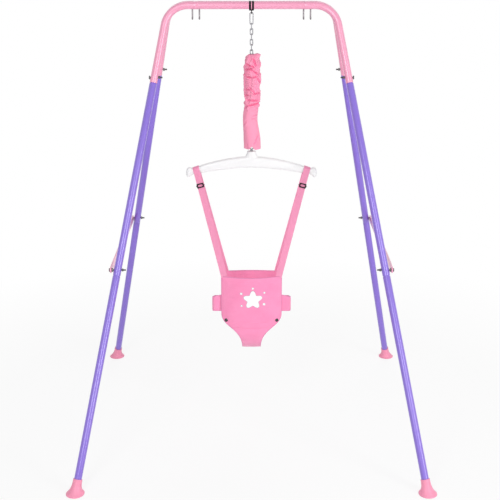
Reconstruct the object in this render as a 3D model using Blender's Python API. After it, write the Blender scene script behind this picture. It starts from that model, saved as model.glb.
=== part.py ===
"""A baby jumper hanging in a folding stand.

The stand is two mirror-image tube frames whose top bars lie side by side in two saddle clamps, so the
rear frame folds about its own bar. Two hinged stays a side hold the frames apart. A black hanger on the
bars carries a quick link, a chain, a spring in a gathered sleeve, a spreader bar on a swivelling
eyebolt, and the fabric seat on two straps.

Metres, +Z up. The origin is on the floor under the middle of the bars, and -Y is the front.
"""

from math import acos, atan, cos, degrees, pi, radians, sin, tan

import bmesh
import bpy
from mathutils import Matrix, Vector

# Clearances
CLEAR = 0.0003
FIT = 0.0004

# Stand
BAR_HEIGHT = 1.300
BAR_SPACING = 0.0260
BAR_LINE_X = 0.238
FOOT_X = 0.494
FOOT_Y = 0.484
TUBE_OD = 0.0215
TUBE_WALL = 0.0012
BEND_RADIUS = 0.068
TOP_TUBE_LEG = 0.227
LEG_JOINT = 0.784
TUBE_OVERLAP = 0.045
SWAGE_TAPER = 0.003
BOLT_SETBACK = 0.016
TUBE_SIDES = 12
BEND_STEPS = 6

# Feet
FOOT_BASE_OD = 0.052
FOOT_NECK_WALL = 0.0019
FOOT_HEIGHT = 0.039
FOOT_RIM = 0.004
FOOT_FLOOR = 0.0045
FOOT_BEVEL = 0.0010
FOOT_FLARE = 3.2
FOOT_TURN = 1.3
FOOT_STEPS = 6

# Bolts and nuts
BOLT_OD = 0.0048
BOLT_HEAD_OD = 0.0105
BOLT_HEAD = 0.0032
BOLT_TAIL = 0.0075
NUT_AF = 0.0080
NUT_HEIGHT = 0.0040

# Side stays
STAY_HEIGHT = 0.020
STAY_END_RADIUS = 0.0085
STAY_THICK = 0.0040
STAY_POCKET = 0.0022
STAY_RIM = 0.0028
STAY_TAPER = 0.034

# Saddle clamps and swing hooks
CLAMP_X = 0.1595
CLAMP_WIDTH = 0.0146
CLAMP_WALL = 0.0018
HOOK_WIRE = 0.0044
HOOK_DROP = 0.0410
HOOK_CURL = 0.0058
HOOK_SPREAD = 0.0100
HOOK_BEND = 0.0026

# Hanger
HANGER_WIDTH = 0.0150
HANGER_GROOVE = 0.0022
HANGER_WALL = 0.0024
LUG_THICK = 0.0026
LUG_HOLE = 0.0066
LUG_EDGE = 0.0024
LUG_DROP = 0.0026
NECK_SHOULDER = 0.0012

# Quick link
LINK_WIRE = 0.0030
LINK_WIDTH = 0.0120
LINK_LENGTH = 0.0365
GATE_LENGTH = 0.0150
GATE_TAPER = 0.0008

# Chain
CHAIN_LINKS = 6
CHAIN_WIRE = 0.0028
CHAIN_PITCH = 0.0150
CHAIN_WIDTH = 0.0100

# Spring and its sleeve
SPRING_WIRE = 0.0034
SPRING_OD = 0.0290
SPRING_CURLS = 20
CURL_POINTS = 8
SPRING_HOOK = 0.0060
SPRING_SPIRAL = 0.0050
SLEEVE_OVER = 0.00195
SLEEVE_LENGTH = 0.2785
SLEEVE_RADIUS = 0.0205
SLEEVE_MOUTH = 0.0095
SLEEVE_FLARE = 0.0030
SLEEVE_RUFFLE = 0.0026
SLEEVE_FOLDS = 13
SLEEVE_GATHERED = 0.62
SLEEVE_ROWS = 30
SLEEVE_SIDES = 20

# Eyebolt
EYE_WIRE = 0.0034
EYE_OD = 0.0150
EYE_DROP = 0.4150
EYE_RISE = 0.0110
SHANK_OD = 0.0056
SHANK_COLLAR_OD = 0.0090
SHANK_COLLAR = 0.0017
NUT_FLANGE_OD = 0.0120
NUT_FLANGE = 0.0012
EYE_NUT_AF = 0.0090
EYE_NUT_HEIGHT = 0.0045

# Spreader bar
SPREADER_REACH = 0.196
SPREADER_HEIGHT = 0.034
SPREADER_DEPTH = 0.021
SPREADER_DROP = 0.0424
SPREADER_UNDER = 0.0254
SPREADER_CURVE = 1.7
SPREADER_CORNER = 0.0085
STRAP_GROOVE = 0.0012
GROOVE_ROOM = 0.0025
GROOVE_LIP = 0.0015
BULB_HEIGHT = 0.030
END_CAP = ((0.0135, 0.90), (0.0080, 1.0), (0.0030, 0.80), (0.0, 0.42))
HUB_RISE = 0.0160
HUB_TOP_RADIUS = 0.0130
HUB_BASE_RADIUS = 0.0250
HUB_SINK = 0.0060
HUB_SIDES = 20
HUB_STEPS = 5
HUB_FLARE = 2.2
HUB_INSET = 0.0006
NUT_POCKET = 0.0120

# Straps and adjusters
STRAP_WIDTH = 0.019
STRAP_THICK = 0.0015
STRAP_INSET = 0.0315
STRAP_EDGE = 0.0010
STRAP_CLEAR = 0.0008
STRAP_STEPS = 8
ADJUSTER_BELOW = 0.050
ADJUSTER_WIDTH = 0.029
ADJUSTER_HEIGHT = 0.021
ADJUSTER_RIM = 0.0036
ADJUSTER_DEPTH = 0.0026
ADJUSTER_CORNER = 0.0065
ADJUSTER_ROOM = 0.0014
CROSSBAR_THICK = 0.0024
CROSSBAR_HALF = 0.0022

# Seat
SEAT_DROP = 0.350
SEAT_WIDTH = 0.184
SEAT_DEPTH = 0.163
BACK_LOWER = 0.040
SEAT_EDGE_Y = 0.082
SEAT_THICK = 0.0060
SEAM_WIDTH = 0.128
LEG_CUT = 0.041
LEG_CURVE = 2.1
CROTCH_DEPTH = 0.095
CROTCH_WIDTH = 0.058
CROTCH_CURVE = 3.5
CROTCH_ROWS = 16
SEAT_BULGE = 0.016
SEAT_ROWS = 10
SEAT_COLUMNS = 10
WING_REACH = 0.120
WING_BELOW = 0.0603
WING_HEIGHT = 0.0539
WING_TAPER = 0.0065
WING_FALL = 0.0617
WING_BACK_HEIGHT = 0.0260
WING_CORNER = 0.0080
WING_THICK = 0.0034
WING_TUCK = 0.014
WING_STEP = 0.0006
SNAP_INSET = 0.0155
SNAP_RISE = 0.0225
SNAP_OD = 0.0105

# Worked out from the sizes above
TUBE_R = TUBE_OD / 2
BORE_R = TUBE_R - TUBE_WALL
HALF_SPACING = BAR_SPACING / 2
TILT = atan((FOOT_Y - HALF_SPACING) / BAR_HEIGHT)
PLANE_HEIGHT = BAR_HEIGHT / cos(TILT)
LEAN = atan((FOOT_X - BAR_LINE_X) / PLANE_HEIGHT)
LEG_LENGTH = PLANE_HEIGHT / cos(LEAN)
LEG_SLANT = acos(BAR_HEIGHT / LEG_LENGTH)
FOOT_BORE_R = TUBE_R + FIT
LEG_END = LEG_LENGTH - (FOOT_FLOOR + FOOT_BORE_R * sin(LEG_SLANT)) / cos(LEG_SLANT) - CLEAR
STAY_AT = LEG_JOINT - BOLT_SETBACK
CORNER_AT = TOP_TUBE_LEG - BOLT_SETBACK
LUG_TOP = BAR_HEIGHT - TUBE_R - FIT - HANGER_WALL
LUG_CENTRE = LUG_TOP - LUG_DROP - LUG_HOLE / 2
LUG_FLOOR = LUG_CENTRE - LUG_HOLE / 2
LINK_R = LINK_WIRE / 2
LINK_BOW = LINK_WIDTH / 2 - LINK_R
LINK_TOP = LUG_FLOOR + CLEAR + LINK_R
LINK_BOTTOM = LINK_TOP - (LINK_LENGTH - LINK_WIRE)
GATE_LOW = (LINK_TOP + LINK_BOTTOM) / 2 - GATE_LENGTH / 2
CHAIN_R = CHAIN_WIRE / 2
CHAIN_BOW = CHAIN_WIDTH / 2 - CHAIN_R
CHAIN_HEIGHT = CHAIN_PITCH + CHAIN_WIRE + CLEAR
HOOK_BOTTOM = BAR_HEIGHT - HOOK_DROP
CHAIN_TOP = LINK_BOTTOM + LINK_R + CLEAR + CHAIN_R
CHAIN_END = CHAIN_TOP - (CHAIN_LINKS - 1) * CHAIN_PITCH - CHAIN_HEIGHT
SPRING_R = SPRING_WIRE / 2
COIL_R = SPRING_OD / 2 - SPRING_R
HOOK_TOP = CHAIN_END + CHAIN_R + CLEAR + SPRING_R
EYE_R = EYE_WIRE / 2
EYE_BOW = EYE_OD / 2 - EYE_R
SLEEVE_TOP = HOOK_TOP + SLEEVE_OVER
SLEEVE_BOTTOM = SLEEVE_TOP - SLEEVE_LENGTH
EYE_CENTRE = BAR_HEIGHT - EYE_DROP
HOOK_LOW = EYE_CENTRE + EYE_BOW - EYE_R - CLEAR - SPRING_R
COIL_TOP = HOOK_TOP - 2 * SPRING_HOOK - SPRING_SPIRAL
COIL_BOTTOM = HOOK_LOW + 2 * SPRING_HOOK + SPRING_SPIRAL
HUB_TOP = EYE_CENTRE - EYE_RISE
SPREADER_TOP = HUB_TOP - HUB_RISE
SPREADER_LOW = SPREADER_TOP - SPREADER_HEIGHT
COLLAR_LOW = HUB_TOP + CLEAR
POCKET_CEILING = SPREADER_LOW + NUT_POCKET
NUT_TOP = POCKET_CEILING - CLEAR
STRAP_BAR_X = SPREADER_REACH - STRAP_INSET
STRAP_SHARE = STRAP_BAR_X / SPREADER_REACH
BAR_SLOPE = atan(SPREADER_DROP * SPREADER_CURVE / SPREADER_REACH * STRAP_SHARE ** (SPREADER_CURVE - 1))
HALF_SEAT = SEAT_WIDTH / 2
SEAT_TOP = SPREADER_TOP - SEAT_DROP
BACK_TOP = SEAT_TOP - BACK_LOWER
SEAT_SEAM = SEAT_TOP - SEAT_DEPTH
LEG_CUT_TOP = SEAT_SEAM + LEG_CUT
STRAP_END_X = HALF_SEAT - STRAP_WIDTH / 2 - STRAP_EDGE
WING_TOP = SEAT_TOP - WING_BELOW
SNAP_X = HALF_SEAT - SNAP_INSET
SNAP_Z = SEAT_SEAM + SNAP_RISE

PINK_PAINT = ("pink_paint", (0.93, 0.32, 0.48), 0.30, 0.0)
PURPLE_PAINT = ("purple_paint", (0.30, 0.19, 0.72), 0.28, 0.0)
PINK_PLASTIC = ("pink_plastic", (0.93, 0.33, 0.50), 0.40, 0.0)
WHITE_PLASTIC = ("white_plastic", (0.90, 0.90, 0.90), 0.35, 0.0)
BLACK_PLASTIC = ("black_plastic", (0.02, 0.015, 0.02), 0.45, 0.0)
STEEL = ("zinc_steel", (0.62, 0.63, 0.65), 0.30, 1.0)
DARK_STEEL = ("dark_steel", (0.20, 0.20, 0.21), 0.35, 1.0)
SLEEVE_CLOTH = ("sleeve_cloth", (0.93, 0.30, 0.45), 0.85, 0.0)
SEAT_CLOTH = ("seat_cloth", (0.95, 0.28, 0.48), 0.85, 0.0)
WEBBING = ("pink_webbing", (0.94, 0.36, 0.54), 0.80, 0.0)

X_AXIS = Vector((1, 0, 0))
Y_AXIS = Vector((0, 1, 0))
Z_AXIS = Vector((0, 0, 1))
SIDES = (("left", -1), ("right", 1))


def clear_scene():
    for obj in list(bpy.data.objects):
        bpy.data.objects.remove(obj, do_unlink=True)


def finish(spec):
    """The Principled material of this name, made on first use."""
    name, colour, roughness, metallic = spec
    made = bpy.data.materials.get(name)
    if made is None:
        made = bpy.data.materials.new(name)
        made.use_nodes = True
        shader = made.node_tree.nodes["Principled BSDF"]
        shader.inputs["Base Color"].default_value = (*colour, 1.0)
        shader.inputs["Roughness"].default_value = roughness
        shader.inputs["Metallic"].default_value = metallic
        made.diffuse_color = (*colour, 1.0)
    return made


def add_object(name, bm, spec, parent=None, at=(0, 0, 0), sharp=35):
    """Turns a bmesh into a named object, smooth with sharp edges above an angle."""
    bmesh.ops.recalc_face_normals(bm, faces=bm.faces[:])
    mesh = bpy.data.meshes.new(name)
    bm.to_mesh(mesh)
    bm.free()
    mesh.shade_smooth()
    mesh.set_sharp_from_angle(angle=radians(sharp))
    obj = bpy.data.objects.new(name, mesh)
    bpy.context.scene.collection.objects.link(obj)
    obj.parent = parent
    obj.location = at
    if spec:
        mesh.materials.append(finish(spec))
    return obj


def add_empty(name, matrix):
    empty = bpy.data.objects.new(name, None)
    empty.matrix_world = matrix
    bpy.context.scene.collection.objects.link(empty)
    return empty


def circle(centre, normal, radius, sides, reference=Y_AXIS):
    """A ring of points round a centre, square to a normal."""
    across = normal.cross(reference).normalized()
    along = normal.cross(across).normalized()
    turns = [2 * pi * i / sides for i in range(sides)]
    return [centre + (across * cos(a) + along * sin(a)) * radius for a in turns]


def hexagon(centre, normal, across_flats, reference=Y_AXIS):
    """Twelve points on a hexagon: its corners and the middles of its flats."""
    ring = []
    for i, point in enumerate(circle(centre, normal, across_flats / 2, 12, reference)):
        reach = 1.0 if i % 2 else 1 / cos(pi / 6)
        ring.append(centre + (point - centre) * reach)
    return ring


def skin(bm, rings, loop=False):
    """Faces between rings of equal count, closed by caps or, as a loop, back on itself."""
    rows = [[bm.verts.new(point) for point in ring] for ring in rings]
    pairs = list(zip(rows, rows[1:] + rows[:1] if loop else rows[1:]))
    for first, second in pairs:
        for i in range(len(first)):
            j = (i + 1) % len(first)
            bm.faces.new((first[i], first[j], second[j], second[i]))
    if not loop:
        bm.faces.new(rows[0])
        bm.faces.new(rows[-1])


def tangents(points, closed=False):
    last = len(points) - 1
    found = []
    for i, point in enumerate(points):
        before = points[i - 1] if i or closed else point
        after = points[(i + 1) % len(points)] if i < last or closed else point
        found.append((after - before).normalized())
    return found


def swept_rings(points, radius, sides, normal, closed=False):
    """Rings along a path, kept from twisting by carrying one cross direction along."""
    across = normal.normalized()
    rings = []
    for point, tangent in zip(points, tangents(points, closed)):
        across = (across - tangent * across.dot(tangent)).normalized()
        along = tangent.cross(across)
        turns = [2 * pi * i / sides for i in range(sides)]
        rings.append([point + (across * cos(a) + along * sin(a)) * radius for a in turns])
    return rings


def wire(points, radius, sides, normal, closed=False):
    bm = bmesh.new()
    skin(bm, swept_rings(points, radius, sides, normal, closed), loop=closed)
    return bm


def turned(axis, profile, sides, origin=Vector(), reference=Y_AXIS, loop=False):
    """A turned solid: the profile holds a radius and a distance along the axis."""
    bm = bmesh.new()
    skin(bm, [circle(origin + axis * d, axis, r, sides, reference) for r, d in profile], loop)
    return bm


def arc(centre, first, second, radius, start, end, steps):
    """Points on an arc in the plane of two unit directions, angles in degrees."""
    turns = [radians(start + (end - start) * i / steps) for i in range(steps + 1)]
    return [centre + (first * cos(a) + second * sin(a)) * radius for a in turns]


def combine(target, tool, operation):
    """Keeps the tool as a hidden guide and combines it with the target."""
    tool.hide_render = True
    tool.display_type = "WIRE"
    step = target.modifiers.new(tool.name, "BOOLEAN")
    step.operation = operation
    step.solver = "EXACT"
    step.object = tool


def drill(target, name, centre, radius, length, axis=X_AXIS, sides=10):
    """Cuts a round hole, centred on a point of its axis."""
    profile = [(radius, -length / 2), (radius, length / 2)]
    tool = turned(axis, profile, sides)
    combine(target, add_object(name, tool, None, target.parent, centre), "DIFFERENCE")


def frame_matrix(end):
    turn = Matrix.Rotation(end * TILT, 4, "X")
    return Matrix.Translation((0, end * HALF_SPACING, BAR_HEIGHT)) @ turn


def leg_direction(side):
    return Vector((side * sin(LEAN), 0, -cos(LEAN)))


def leg_point(side, distance):
    """A point on a leg's axis in its frame's plane, counted from the bar's axis."""
    return Vector((side * BAR_LINE_X, 0, 0)) + leg_direction(side) * distance


def top_tube(name, parent):
    """The bar with both its bends, a hollow tube open at the leg ends."""
    reach = BEND_RADIUS * tan((pi / 2 - LEAN) / 2)
    path = [leg_point(-1, TOP_TUBE_LEG)]
    for side in (-1, 1):
        centre = Vector((side * (BAR_LINE_X - reach), 0, -BEND_RADIUS))
        bend = arc(centre, side * X_AXIS, Z_AXIS, BEND_RADIUS, degrees(LEAN), 90, BEND_STEPS)
        path += bend if side < 0 else bend[::-1]
    path.append(leg_point(1, TOP_TUBE_LEG))
    outer = swept_rings(path, TUBE_R, TUBE_SIDES, Y_AXIS)
    inner = swept_rings(path, BORE_R, TUBE_SIDES, Y_AXIS)
    bm = bmesh.new()
    skin(bm, outer + inner[::-1], loop=True)
    tube = add_object(name, bm, PINK_PAINT, parent)
    for side in (-1, 1):
        drill(tube, f"{name}_hole_{side}", leg_point(side, CORNER_AT), BOLT_OD / 2 + FIT, 2 * TUBE_OD)
    return tube


def leg_tube(name, parent, side, joint, end, holes):
    """A leg tube whose reduced upper end sits in the tube above it."""
    swage = BORE_R - FIT
    shoulder = joint + CLEAR
    outer = [(swage, joint - TUBE_OVERLAP), (swage, shoulder + CLEAR)]
    outer += [(TUBE_R, shoulder + SWAGE_TAPER), (TUBE_R, end)]
    inner = [(radius - TUBE_WALL, distance) for radius, distance in outer[::-1]]
    bm = turned(leg_direction(side), outer + inner, TUBE_SIDES, leg_point(side, 0), loop=True)
    tube = add_object(name, bm, PURPLE_PAINT, parent)
    for i, distance in enumerate(holes):
        at = leg_point(side, distance)
        drill(tube, f"{name}_hole_{i}", at, BOLT_OD / 2 + FIT, 2 * TUBE_OD)
    return tube


def foot(name, side, end):
    """A trumpet foot: a flat round base that draws in to a slanted sleeve round the leg."""
    base = Vector((side * FOOT_X, end * FOOT_Y, 0))
    corner = frame_matrix(end) @ Vector((side * BAR_LINE_X, 0, 0))
    up = (corner - base).normalized()
    base_r = FOOT_BASE_OD / 2
    neck_r = FOOT_BORE_R + FOOT_NECK_WALL
    rings = [circle(base, Z_AXIS, base_r - FOOT_BEVEL, TUBE_SIDES)]
    rings.append(circle(base + Z_AXIS * FOOT_BEVEL, Z_AXIS, base_r, TUBE_SIDES))
    for i in range(FOOT_STEPS + 1):
        t = i / FOOT_STEPS
        height = FOOT_RIM + (FOOT_HEIGHT - FOOT_RIM) * t
        radius = neck_r + (base_r - neck_r) * (1 - t) ** FOOT_FLARE
        normal = Z_AXIS.slerp(up, min(1, FOOT_TURN * t))
        rings.append(circle(base + up * height / up.z, normal, radius, TUBE_SIDES))
    top = base + up * FOOT_HEIGHT / up.z
    floor = base + up * (FOOT_FLOOR + FOOT_BORE_R * sin(LEG_SLANT)) / up.z
    rings += [circle(top, up, FOOT_BORE_R, TUBE_SIDES), circle(floor, up, FOOT_BORE_R, TUBE_SIDES)]
    bm = bmesh.new()
    skin(bm, rings)
    return add_object(name, bm, PINK_PLASTIC)


def bolt(name, parent, side, at, collar, head_at):
    """A hex bolt along X with its nut: head outside, threaded end inside."""
    inward = Vector((-side, 0, 0))
    shank = BOLT_OD / 2
    wall = TUBE_R / cos(LEAN)
    nut_at = wall + NUT_AF / 2 * tan(LEAN) + CLEAR
    nut_end = nut_at + NUT_HEIGHT

    def round_ring(distance, radius):
        return circle(at + inward * distance, inward, radius, 12)

    def hex_ring(distance, across_flats):
        return hexagon(at + inward * distance, inward, across_flats)

    rings = [hex_ring(-head_at - BOLT_HEAD, BOLT_HEAD_OD), hex_ring(-head_at, BOLT_HEAD_OD)]
    rings.append(round_ring(-head_at, shank))
    if collar:
        outer, inner = collar
        rings += [round_ring(-outer, shank), round_ring(-outer, BOLT_HEAD_OD / 2)]
        rings += [round_ring(-inner, BOLT_HEAD_OD / 2), round_ring(-inner, shank)]
    rings += [round_ring(nut_at, shank), hex_ring(nut_at, NUT_AF), hex_ring(nut_end, NUT_AF)]
    rings += [round_ring(nut_end, shank), round_ring(nut_end + BOLT_TAIL, shank)]
    bm = bmesh.new()
    skin(bm, rings)
    return add_object(name, bm, DARK_STEEL, parent)


def link_outline(x, start, end, end_radius, half_height, taper):
    """A stay's outline in its upright plane: round ends that widen to the full height."""
    near = Vector((x, start, 0))
    far = Vector((x, end, 0))
    way = 1 if end > start else -1
    back = arc(near, way * Y_AXIS, Z_AXIS, end_radius, 90, 270, 5)
    front = arc(far, way * Y_AXIS, Z_AXIS, end_radius, -90, 90, 5)
    low = [Vector((x, start + way * taper, -half_height)), Vector((x, end - way * taper, -half_height))]
    high = [Vector((x, point.y, half_height)) for point in low[::-1]]
    return back + low + front + high


def stay(name, side, end, pivot, reach, inner_face):
    """A pressed link from a leg bolt to the middle of the stay, hollowed on its outer face."""
    inner = side * inner_face
    outer = side * (inner_face + STAY_THICK)
    floor = side * (inner_face + STAY_THICK - STAY_POCKET)
    way = -end
    half = STAY_HEIGHT / 2
    edge = STAY_END_RADIUS + STAY_RIM + STAY_END_RADIUS
    pocket = (way * edge, way * (reach - edge), STAY_END_RADIUS - STAY_RIM, half - STAY_RIM, STAY_TAPER - edge)
    rings = [link_outline(x, 0, way * reach, STAY_END_RADIUS, half, STAY_TAPER) for x in (inner, outer)]
    rings += [link_outline(x, *pocket) for x in (outer, floor)]
    bm = bmesh.new()
    skin(bm, rings)
    link = add_object(name, bm, PINK_PAINT, None, (0, pivot.y, pivot.z))
    middle = side * (inner_face + STAY_THICK / 2)
    for tag, y in (("leg_hole", 0), ("middle_hole", way * reach)):
        at = (middle, pivot.y + y, pivot.z)
        drill(link, f"{name}_{tag}", at, BOLT_OD / 2 + FIT, 4 * STAY_THICK)
    return link


def rivet_half(name, side, at, head_face, outward):
    """Half of the middle rivet: a domed head on its link's open face and a shank in the link."""
    way = side * outward * X_AXIS
    shank = BOLT_OD / 2
    depth = STAY_THICK
    profile = [(shank, -depth), (shank, CLEAR), (BOLT_HEAD_OD / 2, CLEAR), (BOLT_HEAD_OD / 2, BOLT_HEAD / 3)]
    profile.append((BOLT_HEAD_OD / 4, BOLT_HEAD * 0.7))
    bm = turned(way, profile, 12)
    return add_object(name, bm, DARK_STEEL, None, (side * head_face, at.y, at.z))


def bar_loop(x, radius, steps=8):
    """An outline round both bars, at one X."""
    rear = arc(Vector((x, HALF_SPACING, BAR_HEIGHT)), Y_AXIS, Z_AXIS, radius, -90, 90, steps)
    front = arc(Vector((x, -HALF_SPACING, BAR_HEIGHT)), Y_AXIS, Z_AXIS, radius, 90, 270, steps)
    return rear + front


def band(x0, x1, wall):
    """A strap round both bars, from one X to another."""
    inner = TUBE_R + FIT
    bm = bmesh.new()
    rings = [bar_loop(x0, inner + wall), bar_loop(x1, inner + wall)]
    rings += [bar_loop(x1, inner), bar_loop(x0, inner)]
    skin(bm, rings, loop=True)
    return bm


def saddle_clamp(name, side):
    start = side * CLAMP_X - CLAMP_WIDTH / 2
    return add_object(name, band(start, start + CLAMP_WIDTH, CLAMP_WALL), PINK_PAINT)


def swing_hooks(name, side):
    """A wire with two hooks, its bridge held between the bars by the saddle clamp."""
    bridge = BAR_HEIGHT - TUBE_R - FIT + CLEAR + HOOK_WIRE / 2
    low = HOOK_BOTTOM + HOOK_WIRE / 2 + HOOK_CURL
    half = []
    leg = Vector((HOOK_SPREAD, 0, 0))
    curl_centre = leg + Vector((0, -HOOK_CURL, low))
    half += arc(curl_centre, -Y_AXIS, Z_AXIS, HOOK_CURL, -10, -180, 8)
    corner = leg + Vector((-HOOK_BEND, 0, bridge - HOOK_BEND))
    half += arc(corner, X_AXIS, Z_AXIS, HOOK_BEND, 0, 90, 3)
    mirrored = [Vector((-p.x, p.y, p.z)) for p in half[::-1]]
    bm = wire(half + mirrored, HOOK_WIRE / 2, 8, X_AXIS)
    return add_object(name, bm, DARK_STEEL, None, (side * CLAMP_X, 0, 0))


def hanger():
    """Two black bands round the bars, joined below by a neck that ends in a pierced lug."""
    half_gap = HANGER_GROOVE / 2
    half = HANGER_WIDTH / 2
    body = add_object("hanger", band(-half, -half_gap, HANGER_WALL), BLACK_PLASTIC)
    other = add_object("hanger_band", band(half_gap, half, HANGER_WALL), None)
    combine(body, other, "UNION")
    lug_r = LUG_HOLE / 2 + LUG_EDGE
    neck = bmesh.new()
    rows = [(LUG_TOP + HANGER_WALL * 0.8, half * 0.98, HALF_SPACING)]
    rows.append((LUG_TOP - NECK_SHOULDER, half * 0.85, HALF_SPACING * 0.8))
    rows.append((LUG_CENTRE + LUG_HOLE * 0.62, LUG_THICK * 0.8, lug_r))
    corners = ((1, 1), (-1, 1), (-1, -1), (1, -1))
    skin(neck, [[Vector((x * dx, y * dy, z)) for x, y in corners] for z, dx, dy in rows])
    combine(body, add_object("hanger_neck", neck, None), "UNION")
    eye = turned(X_AXIS, [(lug_r, -LUG_THICK / 2), (lug_r, LUG_THICK / 2)], 16)
    combine(body, add_object("hanger_eye", eye, None, None, (0, 0, LUG_CENTRE)), "UNION")
    drill(body, "hanger_hole", (0, 0, LUG_CENTRE), LUG_HOLE / 2, HANGER_WIDTH, sides=14)
    return body


def quick_link():
    """The oval link under the hanger, open where its gate closes it."""
    upper = Vector((0, 0, LINK_TOP - LINK_BOW))
    lower = Vector((0, 0, LINK_BOTTOM + LINK_BOW))
    gap = 2 * CLEAR
    path = [Vector((LINK_BOW, 0, GATE_LOW + GATE_LENGTH + gap))]
    path += arc(upper, X_AXIS, Z_AXIS, LINK_BOW, 0, 180, 8)
    path += arc(lower, X_AXIS, Z_AXIS, LINK_BOW, 180, 360, 8)
    path.append(Vector((LINK_BOW, 0, GATE_LOW - gap)))
    return add_object("quick_link", wire(path, LINK_R, 8, Y_AXIS), STEEL)


def link_gate():
    """The sleeve that closes the quick link, tapered at both ends so that it can swing in."""
    tip = LINK_R * 0.55
    profile = [(tip, 0), (LINK_R, GATE_TAPER), (LINK_R, GATE_LENGTH - GATE_TAPER), (tip, GATE_LENGTH)]
    return add_object("quick_link_gate", turned(Z_AXIS, profile, 10), STEEL, None, (LINK_BOW, 0, GATE_LOW))


def chain_link(number):
    """An oval link: odd ones lie in the fore-and-aft plane and even ones across."""
    across = Y_AXIS if number % 2 else X_AXIS
    normal = X_AXIS if number % 2 else Y_AXIS
    upper = Vector((0, 0, -CHAIN_BOW))
    lower = Vector((0, 0, CHAIN_BOW - CHAIN_HEIGHT))
    path = arc(upper, across, Z_AXIS, CHAIN_BOW, 0, 180, 6)
    path += arc(lower, across, Z_AXIS, CHAIN_BOW, 180, 360, 6)
    bm = wire(path, CHAIN_R, 7, normal, closed=True)
    top = CHAIN_TOP - (number - 1) * CHAIN_PITCH
    return add_object(f"chain_link_{number}", bm, STEEL, None, (0, 0, top))


def half_spring(hook_centre, up, coil_end, turn):
    """One hook and the half-turn spiral that carries the wire out to the coil."""
    points = arc(hook_centre, Y_AXIS, up * Z_AXIS, SPRING_HOOK, -15, 270, 10)
    start = points[-1]
    steps = 5
    for i in range(1, steps + 1):
        share = i / steps
        angle = pi / 2 + turn * pi * share
        reach = COIL_R * share
        height = start.z + (coil_end - start.z) * share**1.5
        points.append(Vector((reach * cos(angle), reach * sin(angle), height)))
    return points


def spring_path():
    """Hook, spiral, coil, spiral and hook as one line down the spring."""
    top = half_spring(Vector((0, 0, HOOK_TOP - SPRING_HOOK)), 1, COIL_TOP, 1)
    bottom = half_spring(Vector((0, 0, HOOK_LOW + SPRING_HOOK)), -1, COIL_BOTTOM, -1)
    coil = []
    count = SPRING_CURLS * CURL_POINTS
    for i in range(1, count):
        angle = 1.5 * pi + 2 * pi * i / CURL_POINTS
        height = COIL_TOP + (COIL_BOTTOM - COIL_TOP) * i / count
        coil.append(Vector((COIL_R * cos(angle), COIL_R * sin(angle), height)))
    return top + coil + bottom[::-1]


def least_gap(points, thickness, skip):
    """The least clear distance between stretches of a wire that are not neighbours."""
    gaps = [(a - b).length for i, a in enumerate(points) for b in points[i + skip:]]
    return min(gaps) - thickness


def curve_wire(name, points, thickness, spec):
    """A wire as a curve object with filled ends."""
    data = bpy.data.curves.new(name, "CURVE")
    data.dimensions = "3D"
    data.bevel_depth = thickness / 2
    data.bevel_resolution = 1
    data.use_fill_caps = True
    data.resolution_u = 1
    data.render_resolution_u = 0
    spline = data.splines.new("POLY")
    spline.points.add(len(points) - 1)
    for place, point in zip(spline.points, points):
        place.co = (*point, 1)
    obj = bpy.data.objects.new(name, data)
    obj.data.materials.append(finish(spec))
    bpy.context.scene.collection.objects.link(obj)
    return obj


def spring():
    points = spring_path()
    print(f"spring: least gap to itself {1000 * least_gap(points, SPRING_WIRE, 5):.2f} mm")
    return curve_wire("spring", points, SPRING_WIRE, STEEL)


def sleeve_radius(share, angle):
    """The gathered sleeve: ruffled rings above, a smoother square flare below."""
    gathered = 1 - max(0, min(1, (share - SLEEVE_GATHERED) / 0.12))
    wave = sin(2 * pi * SLEEVE_FOLDS * share + 1.1 * sin(angle) + 0.7 * sin(2 * angle + 9 * share))
    lumps = 0.5 * sin(3 * angle + 17 * share) + 0.35 * sin(5 * angle - 29 * share)
    ruffle = SLEEVE_RUFFLE * (0.30 + 0.70 * gathered) * (0.65 * wave + 0.5 * lumps)
    flare = SLEEVE_FLARE * max(0, (share - SLEEVE_GATHERED) / (1 - SLEEVE_GATHERED)) ** 2
    corners = 1 + 0.5 * cos(4 * angle)
    shoulder = 0.0016 * (1 - share) + 0.0010
    return SLEEVE_RADIUS + shoulder + ruffle + flare * corners


def spring_sleeve():
    """A tube of gathered cloth over the spring, drawn in at its mouth round the chain."""
    height = SLEEVE_TOP - SLEEVE_BOTTOM
    bore = SPRING_OD / 2 + CLEAR
    turns = [2 * pi * i / SLEEVE_SIDES for i in range(SLEEVE_SIDES)]

    def row(share, radius_at):
        z = SLEEVE_TOP - height * share
        return [Vector((radius_at(a) * cos(a), radius_at(a) * sin(a), z)) for a in turns]

    rows = []
    for i in range(SLEEVE_ROWS + 1):
        share = i / SLEEVE_ROWS
        pull = 0.82 if i == 0 else 1.0
        rows.append(row(share, lambda a: pull * sleeve_radius(share, a)))
    mouth_end = (SLEEVE_TOP - COIL_TOP - SPRING_R) / height
    rows += [row(1.0, lambda a: bore), row(mouth_end, lambda a: bore)]
    rows += [row(mouth_end - 0.02, lambda a: SLEEVE_MOUTH), row(0.0, lambda a: SLEEVE_MOUTH)]
    bm = bmesh.new()
    skin(bm, rows, loop=True)
    return add_object("spring_sleeve", bm, SLEEVE_CLOTH, sharp=80)


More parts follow.
